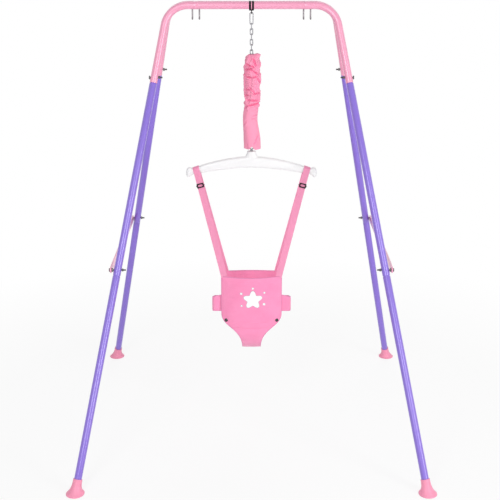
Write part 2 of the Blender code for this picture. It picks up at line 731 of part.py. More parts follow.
def eyebolt():
    """A welded eye on a collared shank that turns in the spreader bar's hub."""
    turns = [2 * pi * i / 16 for i in range(16)]
    ring = [Vector((EYE_BOW * cos(a), 0, EYE_CENTRE + EYE_BOW * sin(a))) for a in turns]
    body = add_object("eyebolt", wire(ring, EYE_R, 8, Y_AXIS, closed=True), STEEL)
    shank = SHANK_OD / 2
    collar = SHANK_COLLAR_OD / 2
    bottom = NUT_TOP - NUT_FLANGE - EYE_NUT_HEIGHT - 0.0012
    profile = [(shank * 0.8, bottom), (shank, bottom + 0.0006), (shank, COLLAR_LOW), (collar, COLLAR_LOW)]
    profile += [(collar, COLLAR_LOW + SHANK_COLLAR), (shank, COLLAR_LOW + SHANK_COLLAR)]
    profile += [(shank, EYE_CENTRE - EYE_BOW)]
    combine(body, add_object("eyebolt_shank", turned(Z_AXIS, profile, 12), None), "UNION")
    return body


def eyebolt_nut():
    """A flanged nut under the hub, in its pocket."""
    hole = SHANK_OD / 2 + FIT
    low = NUT_TOP - NUT_FLANGE - EYE_NUT_HEIGHT
    at = [Vector((0, 0, z)) for z in (NUT_TOP, NUT_TOP - NUT_FLANGE, low)]
    rings = [circle(at[0], Z_AXIS, NUT_FLANGE_OD / 2, 12), circle(at[1], Z_AXIS, NUT_FLANGE_OD / 2, 12)]
    rings += [hexagon(at[1], Z_AXIS, EYE_NUT_AF), hexagon(at[2], Z_AXIS, EYE_NUT_AF)]
    rings += [circle(at[2], Z_AXIS, hole, 12), circle(at[0], Z_AXIS, hole, 12)]
    bm = bmesh.new()
    skin(bm, rings, loop=True)
    return add_object("eyebolt_nut", bm, STEEL)


def spreader_edges(x):
    """The arched bar's middle height and its depth from top to bottom, at a distance x along it."""
    share = (abs(x) / SPREADER_REACH) ** SPREADER_CURVE
    top = SPREADER_TOP - SPREADER_DROP * share
    low = SPREADER_LOW - SPREADER_UNDER * share
    return (top + low) / 2, top - low


def rounded_section(x, centre_z, depth, height, corner, steps=3):
    """A rounded rectangle across the bar."""
    corner = min(corner, depth / 2 - 0.0002, height / 2 - 0.0002)
    ring = []
    for i, (sy, sz) in enumerate(((1, 1), (-1, 1), (-1, -1), (1, -1))):
        centre = Vector((x, sy * (depth / 2 - corner), centre_z + sz * (height / 2 - corner)))
        ring += arc(centre, Y_AXIS, Z_AXIS, corner, 90 * i, 90 * (i + 1), steps)
    return ring


def spreader_bar():
    """The arched bar with a shallow seat for each strap, and a hub for the eyebolt."""
    groove_in = STRAP_BAR_X - STRAP_WIDTH / 2 - GROOVE_ROOM
    groove_out = STRAP_BAR_X + STRAP_WIDTH / 2 + GROOVE_LIP
    inner_lip = groove_in - GROOVE_LIP
    half = [(inner_lip * share, 1.0, 0) for share in (0.13, 0.34, 0.55, 0.77, 1.0)]
    half += [(x, 1.0, STRAP_GROOVE) for x in (groove_in, STRAP_BAR_X, groove_out)]
    half.append((groove_out + GROOVE_LIP, 1.0, 0))
    half += [(SPREADER_REACH - back, scale, None) for back, scale in END_CAP]
    stations = [(-x, scale, cut) for x, scale, cut in half[::-1]] + half
    rings = []
    for x, scale, cut in stations:
        centre_z, height = spreader_edges(x)
        height = BULB_HEIGHT * scale if cut is None else height - 2 * cut
        depth = SPREADER_DEPTH * scale - 2 * (cut or 0)
        rings.append(rounded_section(x, centre_z, depth, height, SPREADER_CORNER * scale))
    bm = bmesh.new()
    skin(bm, rings)
    body = add_object("spreader_bar", bm, WHITE_PLASTIC)
    hub = bmesh.new()
    rows = []
    low = SPREADER_TOP - HUB_SINK
    for i in range(HUB_STEPS + 1):
        t = i / HUB_STEPS
        reach_x = HUB_TOP_RADIUS + (HUB_BASE_RADIUS - HUB_TOP_RADIUS) * (1 - t) ** HUB_FLARE
        reach_y = SPREADER_DEPTH / 2 - HUB_INSET * (1 + t)
        z = low + (HUB_TOP - low) * t
        turns = [2 * pi * k / HUB_SIDES for k in range(HUB_SIDES)]
        rows.append([Vector((reach_x * cos(a), reach_y * sin(a), z)) for a in turns])
    skin(hub, rows)
    combine(body, add_object("spreader_hub", hub, None), "UNION")
    bore = SHANK_OD / 2 + FIT
    pocket = NUT_FLANGE_OD / 2 + 2 * FIT
    drill(body, "spreader_bore", (0, 0, SPREADER_TOP), bore, 4 * SPREADER_HEIGHT, Z_AXIS, 14)
    drill(body, "spreader_pocket", (0, 0, SPREADER_LOW), pocket, 2 * NUT_POCKET, Z_AXIS, 14)
    return body


def panel_y(x):
    """The middle surface of the front panel, as a distance forward of the bars."""
    return SEAT_EDGE_Y + SEAT_BULGE * (1 - (x / HALF_SEAT) ** 2)


def strap_path():
    """The right strap's middle line: front corner of the seat, over the bar, rear corner."""
    up = Vector((sin(BAR_SLOPE), 0, cos(BAR_SLOPE)))
    centre_z, height = spreader_edges(STRAP_BAR_X)
    corner = SPREADER_CORNER - STRAP_GROOVE
    wrap = corner + STRAP_CLEAR + STRAP_THICK / 2
    flat_y = SPREADER_DEPTH / 2 - STRAP_GROOVE - corner
    flat_z = (height / 2 - STRAP_GROOVE) * cos(BAR_SLOPE) - corner
    centre = Vector((STRAP_BAR_X, 0, centre_z)) + up * flat_z - Y_AXIS * flat_y
    over = arc(centre, -Y_AXIS, up, wrap, 16, 90, 5)
    back = [Vector((p.x, -p.y, p.z)) for p in over[::-1]]
    front_end = Vector((STRAP_END_X, -panel_y(STRAP_END_X), SEAT_TOP + CLEAR))
    back_end = Vector((STRAP_END_X, panel_y(STRAP_END_X), BACK_TOP + CLEAR))
    front_run = [front_end.lerp(over[0], i / STRAP_STEPS) for i in range(STRAP_STEPS)]
    back_run = [back[-1].lerp(back_end, i / STRAP_STEPS) for i in range(1, STRAP_STEPS + 1)]
    return front_run + over + back + back_run


def strap(name, side):
    """Webbing from the front panel over the bar to the back panel, cut level at both ends."""
    path = strap_path()
    along = tangents(path)
    rings = []
    last = len(path) - 1
    for i, (point, tangent) in enumerate(zip(path, along)):
        level = Vector((cos(BAR_SLOPE), 0, -sin(BAR_SLOPE)))
        wide = (level - tangent * level.dot(tangent)).normalized() * STRAP_WIDTH / 2
        thick = wide.cross(tangent).normalized() * STRAP_THICK / 2
        if i in (0, last):
            wide = X_AXIS * wide.length / cos(BAR_SLOPE)
            thick = Y_AXIS * STRAP_THICK / 2 * (1 if i else -1)
        ring = [point + wide + thick, point - wide + thick, point - wide - thick, point + wide - thick]
        rings.append([Vector((side * p.x, p.y, p.z)) for p in ring])
    bm = bmesh.new()
    skin(bm, rings)
    return add_object(name, bm, WEBBING)


def adjuster_frame():
    """The right strap's front run at the adjuster: its place and its three directions."""
    path = strap_path()
    top = path[STRAP_STEPS]
    down = (path[0] - top).normalized()
    level = Vector((cos(BAR_SLOPE), 0, -sin(BAR_SLOPE)))
    wide = (level - down * level.dot(down)).normalized()
    out = down.cross(wide)
    out = -out if out.y > 0 else out
    return top + down * ADJUSTER_BELOW, wide, down, out


def adjuster(name, side):
    """A slide: a rounded frame in front of the strap and a crossbar behind it."""
    at, wide, down, out = adjuster_frame()
    front = STRAP_THICK / 2 + CLEAR
    back = -STRAP_THICK / 2 - CLEAR
    post_in = STRAP_WIDTH / 2 + ADJUSTER_ROOM
    rim = ADJUSTER_RIM

    def place(w, d, t):
        point = at + wide * w + down * d + out * t
        return Vector((side * point.x, point.y, point.z))

    def outline(width, height, corner, t):
        flat = rounded_section(0, 0, width, height, corner, 2)
        return [place(p.y, p.z, t) for p in flat]

    bm = bmesh.new()
    inner = (ADJUSTER_WIDTH - 2 * rim, ADJUSTER_HEIGHT - 2 * rim, ADJUSTER_CORNER - rim)
    outer = (ADJUSTER_WIDTH, ADJUSTER_HEIGHT, ADJUSTER_CORNER)
    top = front + ADJUSTER_DEPTH
    rings = [outline(*outer, front), outline(*outer, top), outline(*inner, top), outline(*inner, front)]
    skin(bm, rings, loop=True)
    body = add_object(name, bm, BLACK_PLASTIC)
    half = ADJUSTER_WIDTH / 2 - FIT
    low = back - CROSSBAR_THICK
    mid = front + ADJUSTER_DEPTH / 2
    profile = [(-half, mid), (-half, low), (half, low), (half, mid)]
    profile += [(post_in, mid), (post_in, back), (-post_in, back), (-post_in, mid)]
    bar = bmesh.new()
    skin(bar, [[place(w, d, t) for w, t in profile] for d in (-CROSSBAR_HALF, CROSSBAR_HALF)])
    combine(body, add_object(f"{name}_crossbar", bar, None), "UNION")
    return body


def half_width(z):
    """Half the front panel's width, which the leg openings cut back near the seam."""
    if z >= LEG_CUT_TOP:
        return HALF_SEAT
    share = (LEG_CUT_TOP - z) / (LEG_CUT_TOP - SEAT_SEAM)
    return HALF_SEAT + (SEAM_WIDTH / 2 - HALF_SEAT) * share**LEG_CURVE


def panel_half(x, z, top=SEAT_TOP):
    """Half the padded panel's thickness, which thins towards all its edges."""
    down = max(0, min(1, (top - z) / (top - SEAT_SEAM)))
    level = 0.35 + 0.65 * (4 * down * (1 - down)) ** 0.25
    crown = level * (1 - (x / half_width(z)) ** 4)
    return SEAT_THICK / 2 * (0.45 + 0.55 * crown)


def panel(name, end, top):
    """A padded panel, thickest in its middle, curved round the child's body."""
    rings = []
    for row in range(SEAT_ROWS + 1):
        z = top + (SEAT_SEAM - top) * (1 - cos(pi * row / SEAT_ROWS)) / 2
        reach = half_width(z)
        face = []
        for column in range(SEAT_COLUMNS + 1):
            u = 2 * column / SEAT_COLUMNS - 1
            x = reach * (u - 0.10 * sin(pi * u))
            face.append((x, panel_half(x, z, top)))
        front = [Vector((x, end * (panel_y(x) + half), z)) for x, half in face]
        back = [Vector((x, end * (panel_y(x) - half), z)) for x, half in face[::-1]]
        rings.append(front + back)
    bm = bmesh.new()
    skin(bm, rings)
    return add_object(name, bm, SEAT_CLOTH, sharp=60)


def crotch_panel():
    """The strip between the legs, hung from the front seam to the back one."""
    seam = SEAT_SEAM - CLEAR
    deep = CROTCH_DEPTH - SEAT_THICK / 2
    rings = []
    for row in range(CROTCH_ROWS + 1):
        turn = pi * row / CROTCH_ROWS
        narrow = 1 - (1 - sin(turn)) ** CROTCH_CURVE
        reach = SEAM_WIDTH / 2 + (CROTCH_WIDTH / 2 - SEAM_WIDTH / 2) * narrow
        normal = Vector((0, -cos(turn), -sin(turn)))
        face = []
        for column in range(SEAT_COLUMNS + 1):
            x = reach * (2 * column / SEAT_COLUMNS - 1)
            middle = Vector((x, -panel_y(x) * cos(turn), seam - deep * sin(turn)))
            half = SEAT_THICK / 2 * (0.45 + 0.55 * 0.35 * (1 - (x / reach) ** 4))
            face.append((middle, normal * half))
        rings.append([m + n for m, n in face] + [m - n for m, n in face[::-1]])
    bm = bmesh.new()
    skin(bm, rings)
    return add_object("seat_crotch", bm, SEAT_CLOTH, sharp=60)


def wing_path():
    """The right wing's middle line in plan, from the front panel round to the back one."""
    inset = SEAT_THICK / 2 + CLEAR + WING_THICK / 2
    tuck_x = HALF_SEAT - WING_TUCK
    reach = WING_REACH - WING_THICK / 2
    side_y = panel_y(HALF_SEAT) - inset + WING_STEP
    turn_x = reach - WING_CORNER
    turn_y = side_y - WING_CORNER
    half = [Vector((tuck_x, -panel_y(tuck_x) + inset, 0)), Vector((HALF_SEAT - WING_STEP, -side_y, 0))]
    half += arc(Vector((turn_x, -turn_y, 0)), -Y_AXIS, X_AXIS, WING_CORNER, 0, 90, 3)
    half.append(Vector((reach, -turn_y / 2, 0)))
    return half + [Vector((reach, 0, 0))] + [Vector((p.x, -p.y, 0)) for p in half[::-1]]


def wing_edges(point):
    """The wing's lower and upper edge where its plan passes a point: it falls towards the back."""
    side_y = panel_y(HALF_SEAT)
    back = max(0, min(1, (point.y + side_y) / (2 * side_y)))
    out = max(0, (point.x - HALF_SEAT) / (WING_REACH - HALF_SEAT))
    high = WING_TOP - WING_FALL * back - WING_TAPER * out * (1 - back)
    height = WING_HEIGHT + (WING_BACK_HEIGHT - WING_HEIGHT) * back
    return high - height + WING_TAPER * out * (1 - back), high


def wing(name, side):
    """The side band that closes the waist, tucked in behind the front and back panels."""
    path = wing_path()
    rings = []
    for point, tangent in zip(path, tangents(path)):
        out = Vector((tangent.y, -tangent.x, 0)).normalized() * WING_THICK / 2
        low, high = [Z_AXIS * edge for edge in wing_edges(point)]
        ring = [point + out + low, point + out + high, point - out + high, point - out + low]
        rings.append([Vector((side * p.x, p.y, p.z)) for p in ring])
    bm = bmesh.new()
    skin(bm, rings)
    return add_object(name, bm, SEAT_CLOTH)


def snap(name, side):
    """A domed snap on the front panel, where the leg opening begins."""
    slope = 2 * SEAT_BULGE * SNAP_X / HALF_SEAT**2
    out = Vector((side * slope, -1, 0)).normalized()
    depth = panel_half(SNAP_X, SNAP_Z) + CLEAR
    at = Vector((side * SNAP_X, -panel_y(SNAP_X), SNAP_Z)) + out * depth
    r = SNAP_OD / 2
    profile = [(r, 0), (r, 0.0008), (r * 0.72, 0.0020), (r * 0.40, 0.0026)]
    return add_object(name, turned(out, profile, 14, reference=Z_AXIS), DARK_STEEL, None, at)


def build_frame(end_name, end):
    """One U frame of the stand: top tube, legs, feet and corner bolts."""
    plane = add_empty(f"{end_name}_frame_plane", frame_matrix(end))
    top_tube(f"{end_name}_top_tube", plane)
    for side_name, side in SIDES:
        tag = f"{end_name}_{side_name}"
        leg_tube(f"{tag}_upper_leg", plane, side, TOP_TUBE_LEG, LEG_JOINT, (CORNER_AT, STAY_AT))
        leg_tube(f"{tag}_lower_leg", plane, side, LEG_JOINT, LEG_END, (STAY_AT,))
        foot(f"{tag}_foot", side, end)
        seat = TUBE_R / cos(LEAN) + BOLT_HEAD_OD / 2 * tan(LEAN) + CLEAR
        bolt(f"{tag}_corner_bolt", plane, side, leg_point(side, CORNER_AT), None, seat)
        build_stay(tag, side, end, plane)


def build_stay(tag, side, end, plane):
    """A leg's stay link with its bolt and its half of the middle rivet."""
    pivot = plane.matrix_world @ leg_point(side, STAY_AT)
    reach = abs(pivot.y)
    beside = TUBE_R / cos(LEAN) + STAY_END_RADIUS * tan(LEAN) + CLEAR
    front = end < 0
    stagger = STAY_THICK + CLEAR if front else 0
    inner_face = abs(pivot.x) + beside + stagger
    stay(f"{tag}_stay", side, end, pivot, reach, inner_face)
    outer_face = inner_face + STAY_THICK
    collar = (beside + stagger - CLEAR, beside) if front else None
    head_at = beside + stagger + STAY_THICK + CLEAR
    bolt(f"{tag}_stay_bolt", plane, side, leg_point(side, STAY_AT), collar, head_at)
    middle = Vector((0, 0, pivot.z))
    face = outer_face if front else inner_face
    rivet_half(f"{tag}_rivet", side, middle, face, 1 if front else -1)


def main():
    clear_scene()
    for end_name, end in (("front", -1), ("rear", 1)):
        build_frame(end_name, end)
    hanger()
    quick_link()
    link_gate()
    for number in range(1, CHAIN_LINKS + 1):
        chain_link(number)
    spring()
    spring_sleeve()
    eyebolt()
    eyebolt_nut()
    spreader_bar()
    panel("seat_front", -1, SEAT_TOP)
    panel("seat_back", 1, BACK_TOP)
    crotch_panel()
    for side_name, side in SIDES:
        saddle_clamp(f"{side_name}_saddle_clamp", side)
        swing_hooks(f"{side_name}_swing_hooks", side)
        strap(f"{side_name}_strap", side)
        adjuster(f"{side_name}_adjuster", side)
        wing(f"{side_name}_waist_wing", side)
        snap(f"{side_name}_snap", side)


main()
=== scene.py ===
"""The looks of a baby jumper hanging in its folding stand, laid out as a Blender add-on."""

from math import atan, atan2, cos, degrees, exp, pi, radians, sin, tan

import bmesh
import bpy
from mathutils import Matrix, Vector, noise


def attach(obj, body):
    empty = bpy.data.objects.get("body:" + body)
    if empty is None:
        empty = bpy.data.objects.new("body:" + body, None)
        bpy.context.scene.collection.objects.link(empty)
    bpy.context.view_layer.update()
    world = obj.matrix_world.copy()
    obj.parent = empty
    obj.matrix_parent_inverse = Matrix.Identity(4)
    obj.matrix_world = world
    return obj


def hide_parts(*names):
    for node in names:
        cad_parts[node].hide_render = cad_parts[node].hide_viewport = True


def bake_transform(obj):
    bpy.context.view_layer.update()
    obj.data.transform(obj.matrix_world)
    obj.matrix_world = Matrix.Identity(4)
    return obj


bl_info = {
    "name": "Baby Jumper Stand",
    "version": (1, 0, 0),
    "blender": (4, 5, 0),
    "location": "3D View > Sidebar > Jumper",
    "description": "Models a cloth baby jumper on a spring, hung in a folding tube stand",
    "category": "Add Mesh",
}

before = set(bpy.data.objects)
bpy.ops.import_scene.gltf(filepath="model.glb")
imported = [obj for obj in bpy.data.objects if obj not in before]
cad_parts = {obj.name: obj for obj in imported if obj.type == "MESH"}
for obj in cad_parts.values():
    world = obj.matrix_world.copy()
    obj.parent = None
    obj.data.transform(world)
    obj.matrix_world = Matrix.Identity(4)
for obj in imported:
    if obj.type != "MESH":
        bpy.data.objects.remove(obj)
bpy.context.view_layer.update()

SIDES = (("left", -1), ("right", 1))
ENDS = (("front", -1), ("rear", 1))
X_AXIS = Vector((1, 0, 0))
Y_AXIS = Vector((0, 1, 0))
Z_AXIS = Vector((0, 0, 1))

# Sides of a large round, a small round and a thin cord.
ROUND = 32
FINE = 16
THIN = 12

# Clearance between pieces, and the looser fit of moulded pieces round steel.
GAP = 0.0003
FIT = 0.0004

# Width of an eased edge, and the angle in degrees from which a finish shows an edge as sharp.
EASE = 0.0004
SHARP = 40

# Legs: how far a tube ends above the floor, the step of its reduced end, and where that begins,
# ends and has widened to the whole tube, from the joint.
LEG_END = 0.012
NECK_STEP = 0.0016
NECK_START = -0.004
NECK_STOP = 0.0006
NECK_WIDE = 0.0032

# Feet: wall over the tube, rim of the base, the sole as offsets from the base's radius with their
# heights, and the curve of the trumpet.
FOOT_WALL = 0.0019
FOOT_RIM = 0.0012
FOOT_SOLE = ((-FOOT_RIM, 0.0), (-0.0003, 0.0006), (0.0, 0.0016), (-0.0002, 0.0032))
FOOT_BASE = 0.004
FOOT_CURVE = 3.2
FOOT_LIP = 0.0007

# Bolts, washers and nuts.
BOLT_SHANK = 0.0048
BOLT_HEAD_ACROSS = 0.0105
BOLT_HEAD = 0.0032
BOLT_TAIL = 0.0075
HEAD_SHARE = 0.92
SHANK_SHARE = 0.98
WASHER = 0.0009
WASHER_SINK = 0.0008
NUT_ACROSS = 0.0080
NUT_HEIGHT = 0.0040
THREAD_PITCH = 0.0008
THREAD_DEPTH = 0.35

# Stays, and a rivet's dome as shares of its radius and heights.
STAY_END = 0.0085
STAY_HALF_HEIGHT = 0.0100
STAY_THICK = 0.0040
STAY_TAPER = 0.034
STAY_RIM = 0.0028
STAY_POCKET = 0.0022
RIVET_DOME = ((0.0, 0.0032), (0.35, 0.0030), (0.7, 0.0021), (0.94, 0.0009), (1.0, GAP))

# Saddle clamps and swing hooks.
CLAMP_X = 0.1595
CLAMP_WIDTH = 0.0146
CLAMP_WALL = 0.0018
HOOK_WIRE = 0.0044
HOOK_BOTTOM = 1.2590
HOOK_CURL = 0.0058
HOOK_SPREAD = 0.0100
HOOK_BEND = 0.0026

# Hanger: its neck as heights over the bands and the lug, with half widths.
HANGER_WIDTH = 0.0150
HANGER_GROOVE = 0.0022
HANGER_WALL = 0.0024
HANGER_EASE = 0.0007
NECK_TOP = (0.0019, 0.0073, 0.0130)
NECK_MIDDLE = (-0.0012, 0.0064, 0.0104)
NECK_FOOT = (0.0041, 0.0021)
LUG_THICK = 0.0026
LUG_HOLE = 0.0066
LUG_EDGE = 0.0024
LUG_DROP = 0.0026
LUG_ROUNDING = 0.0006

# Quick link and chain. The knurl holds shares of the sleeve's radius and of a groove's step, and
# the weld how much wider and shorter than a ball of the wire's size it is.
LINK_WIDTH = 0.0120
LINK_LENGTH = 0.0365
GATE_LENGTH = 0.0150
GATE_END = 0.0012
GATE_GROOVES = 9
GATE_KNURL = ((1.0, 0.2), (1.0, 0.7), (0.93, 0.85))
CHAIN_LINKS = 6
CHAIN_WIDTH = 0.0100
WELD = (1.12, 1.12, 0.55, 1.0)

# Spring and eyebolt.
SPRING_CURLS = 20
SPRING_STEPS = 24
SPRING_HOOK = 0.0060
SPRING_SPIRAL = 0.0050
SPRING_OPEN = -15
SPREAD_CURVE = 1.5
EYE_WIRE = 0.0034
EYE_DIAMETER = 0.0150
EYE_SHANK = 0.0028
EYE_TAIL = 0.0070
EYE_COLLAR = ((0.0042, 0.0), (0.0045, 0.0004), (0.0045, 0.0013), (0.0042, 0.0017))
EYE_NUT = (0.0090, 0.0045)
EYE_NUT_DROP = 0.0057
FLANGE = ((0.0060, 0.0), (0.0060, -0.0012), (0.0043, -0.0014))

# Sleeve: the large creases, each from (angle, share of the height) to another, in degrees, with
# its depth and its width in millimetres.
CREASES = (
    (-83, 0.030, -56, 0.125, 3.4, 2.6), (-151, 0.086, -69, 0.133, 2.6, 2.4),
    (-157, 0.160, -80, 0.140, 3.4, 2.6), (-120, 0.133, -33, 0.211, 2.8, 2.2),
    (-141, 0.227, -97, 0.237, 3.0, 2.0), (-97, 0.237, -42, 0.224, 3.0, 2.0),
    (-50, 0.234, -18, 0.305, 3.2, 3.0), (-170, 0.196, -141, 0.227, 2.6, 2.2),
    (-157, 0.360, -108, 0.367, 2.8, 2.2), (-120, 0.336, -63, 0.398, 1.8, 2.2),
    (-84, 0.410, -5, 0.398, 2.8, 2.2), (-168, 0.428, -118, 0.420, 2.4, 2.0),
    (-133, 0.473, -21, 0.480, 2.8, 2.0), (-133, 0.533, -5, 0.504, 3.4, 2.2),
    (-155, 0.562, -112, 0.533, 1.8, 2.4), (-77, 0.640, -14, 0.633, 1.4, 1.6),
    (-80, 0.672, -40, 0.668, 1.3, 1.6), (-150, 0.750, -117, 0.695, 1.5, 2.6),
    (-28, 0.845, -79, 0.955, 2.0, 2.6), (-38, 0.900, -71, 0.945, 1.4, 2.0),
    (-129, 0.930, -126, 1.000, 1.2, 2.6), (-175, 0.820, -160, 0.930, 1.2, 3.0),
)
CREASE_TURNS = ((0.0, 0.0), (180.0, 0.017), (360.0, 0.0), (540.0, 0.017))
CREASE_MARGIN = 0.04
RIDGE = 0.34
SLEEVE_GRID = (128, 270)
SLEEVE_CLOTH = 0.0006

# Sleeve: the share where the tight gathers end and how soon, the reliefs of its pinches, puckers
# and soft lower part, the depth that counts as closed, and how open a tight gather lies; these
# last two only set the painted shade in the folds.
GATHERS_END = 0.54
GATHERS_FADE = 0.06
PINCH = 0.0042
PUCKER = 0.0010
GATHERED_IN = 0.0011
SOFT = 0.0026
CLOSED = 0.0030
SHUT = 0.34

# Sleeve: its mouth and the ear of cloth there, how it bows sideways, and its flare and hem.
BORE_ROOM = 0.0008
EAR_ANGLE = 0.30
EAR_MOUTH = 1.10
MOUTH = 0.40
MOUTH_SHARE = 0.075
EAR_LIFT = 0.0030
BOW = 0.0014
BOW_BACK = 0.0066
FLARE = 0.0016
HEM_NOTCH = 0.0105
HEM_WAVE = 0.0008

# Spreader bar: the nut's pocket, the strap's groove, the bulbs and the arch's curve.
NUT_POCKET = 0.0120
STRAP_GROOVE = 0.0012
BULB_START = 0.0190
BULB_MIDDLE = 0.0080
BULB_TIP = 0.8236
ARCH_CURVE = 1.7
BAR_CORNER = 0.0085
SQUARENESS = 0.62
HUB_SINK = 0.006
HUB_REACH = 0.0130
HUB_SPREAD = 0.0120
HUB_CURVE = 2.2
HUB_ROUNDING = 0.0010
HUB_BORE = 0.0032
POCKET_RADIUS = 0.0068

# Straps and adjusters.
STRAP_TUCK = 0.004
STRAP_STEPS = 80
STRAP_SEAMS = (0.0195, 0.0230)
STRAP_SEAM_ENDS = (0.12, 0.88)
STRAP_TURN = 0.06
STRAP_THIN_EDGE = 0.35
STRAP_CLEAR = 0.0008
STRAP_EDGE = 0.0010
STITCH_STAND = 0.55
SLIDE_DROP = 0.050
SLIDE_HALF = (0.0145, 0.0105)
SLIDE_RIM = 0.0036
SLIDE_DEEP = 0.0026
SLIDE_CORNER = 0.0065
SLIDE_BAR = 0.0022
SLIDE_EASE = 0.0010
SLIDE_KNEE = 0.0012
SLIDE_HOLD = 0.0026

# Seat: curves of the leg openings and the crotch, the binding, the seams' place as a share of the
# panel, how far a panel's upper edge dips, and how far in from its edge it is sewn down.
LEG_CURVE = 2.1
CROTCH_CURVE = 3.5
BINDING = 0.0036
SEAM_INSET = 0.050
PANEL_DIP = 0.0024
SEWN_BAND = 0.016

# Padding: the share of its thickness at a pad's edge and what is added inside the edge, how wide
# that edge is, how loose the panels lie, and how hard and how far the filling may push.
PANEL_PAD = (0.42, 0.50)
CROTCH_PAD = (0.36, 0.30)
WING_PAD = (0.62, 0.38)
PANEL_EDGE = 0.022
CROTCH_EDGE = 0.3
WING_EDGE = 0.012
EDGE_CURVE = 2.4
PANEL_SLACK = 0.16
PUSH = 2.5
MOST_PUSHED = 0.0045
FILLING_STEPS = 20

# Waist wings.
WING_TUCK = 0.014
WING_THICK = 0.0034
WING_CORNER = 0.0080
WING_STEP = 0.0006
WING_TAPER = 0.0065
WING_BINDING = 0.0030

# Snaps: their place, size and the cap's profile as shares of its radius and heights.
SNAP_X = 0.0765
SNAP_Z = 0.3675
SNAP_RADIUS = 0.00525
SNAP_CAP = (
    (0.0, -0.0006), (0.9, -0.0006), (1.0, 0.0), (1.0, 0.0008), (0.93, 0.0012), (0.80, 0.0011),
    (0.72, 0.0017), (0.55, 0.0024), (0.3, 0.0027), (0.0, 0.0028),
)

# Print: the star's place and radius, the dots as places and radii, and the two layers of ink with
# how far each reaches past the star and stands off the cloth.
STAR_PLACE = (0.004, 0.437)
STAR_RADIUS = 0.0290
DOTS = (
    (-0.031, 0.457, 0.0034), (0.039, 0.460, 0.0028), (0.038, 0.423, 0.0038),
    (-0.030, 0.418, 0.0026), (0.004, 0.474, 0.0030),
)
INKS = (("star_edge", "print_edge", 0.0011, 0.0003), ("star_ink", "print_ink", 0.0, 0.0005))

# Stage.
SEEN = ("Is Camera Ray", "Is Glossy Ray", "Is Transmission Ray")
ROOM_LIGHT = 0.42
FLOOR_RADIUS = 6.0
LAMP_AIM = (0.0, 0.0, 0.65)
LAMPS = (
    ("key", (-1.1, -3.5, 2.2), (1.0, 2.6), 50.0),
    ("fill", (2.5, -2.5, 1.5), (0.9, 2.8), 52.0),
    ("back", (0.6, 3.0, 2.8), (2.4, 2.4), 38.0),
)
CAMERA_LENS = 75.6
CAMERA_SHIFT = -0.003
CAMERA_PLACE = (0.0, -3.080, 1.540)
CAMERA_PITCH = 17.59


def metres(name, value, description):
    return bpy.props.FloatProperty(
        name=name, description=description, default=value, min=0.0, unit="LENGTH", precision=4
    )


def tint(name, value, description):
    return bpy.props.FloatVectorProperty(
        name=name, description=description, default=value, size=3, min=0.0, max=1.0, subtype="COLOR"
    )


class StandSizes(bpy.types.PropertyGroup):
    bar_height: metres("Bar height", 1.300, "Height of the bars above the floor")
    bar_spacing: metres("Bar spacing", 0.0260, "Distance between the two bars")
    bar_line: metres("Bar line", 0.238, "Where a leg's axis meets the bar's axis")
    foot_x: metres("Foot X", 0.494, "Distance of a foot from the middle, along the bars")
    foot_y: metres("Foot Y", 0.484, "Distance of a foot from the middle, across the bars")
    tube_diameter: metres("Tube", 0.0215, "Outer diameter of all tubes")
    bend_radius: metres("Bend radius", 0.068, "Radius of the bends beside the bar")
    corner_joint: metres("Corner joint", 0.227, "Distance down a leg where the upper leg begins")
    leg_joint: metres("Leg joint", 0.784, "Distance down a leg where the lower leg begins")
    bolt_setback: metres("Bolt setback", 0.016, "Distance of a bolt above its joint")
    foot_height: metres("Foot height", 0.039, "Height of a foot's sleeve")
    foot_diameter: metres("Foot diameter", 0.052, "Diameter of a foot's base")


class LineSizes(bpy.types.PropertyGroup):
    link_wire: metres("Quick link wire", 0.0030, "Diameter of the quick link's wire")
    chain_wire: metres("Chain wire", 0.0028, "Diameter of the chain's wire")
    chain_pitch: metres("Chain pitch", 0.0150, "Distance from link to link")
    spring_diameter: metres("Spring diameter", 0.0290, "Outer diameter of the coil")
    spring_wire: metres("Spring wire", 0.0034, "Diameter of the spring's wire")
    sleeve_top: metres("Sleeve top", 1.1610, "Height of the sleeve's upper end")
    sleeve_bottom: metres("Sleeve bottom", 0.8825, "Height of the sleeve's lower end")
    sleeve_radius: metres("Sleeve radius", 0.0212, "Middle radius of the gathered sleeve")
    eye_centre: metres("Eye centre", 0.8850, "Height of the eyebolt's ring")
    bar_top: metres("Spreader top", 0.858, "Height of the spreader bar's upper edge")
    bar_height: metres("Spreader height", 0.034, "Height of the spreader bar at its middle")
    bar_depth: metres("Spreader depth", 0.021, "Depth of the spreader bar from front to back")
    bar_reach: metres("Spreader reach", 0.196, "Half the spreader bar's length")
    bar_drop: metres("Spreader drop", 0.0424, "How far the upper edge falls towards the ends")
    bar_under: metres("Spreader under drop", 0.0254, "How far the lower edge falls towards the ends")
    bulb_height: metres("Bulb height", 0.030, "Height of the bulbs at the spreader bar's ends")
    hub_top: metres("Hub top", 0.8740, "Height of the spreader bar's hub")


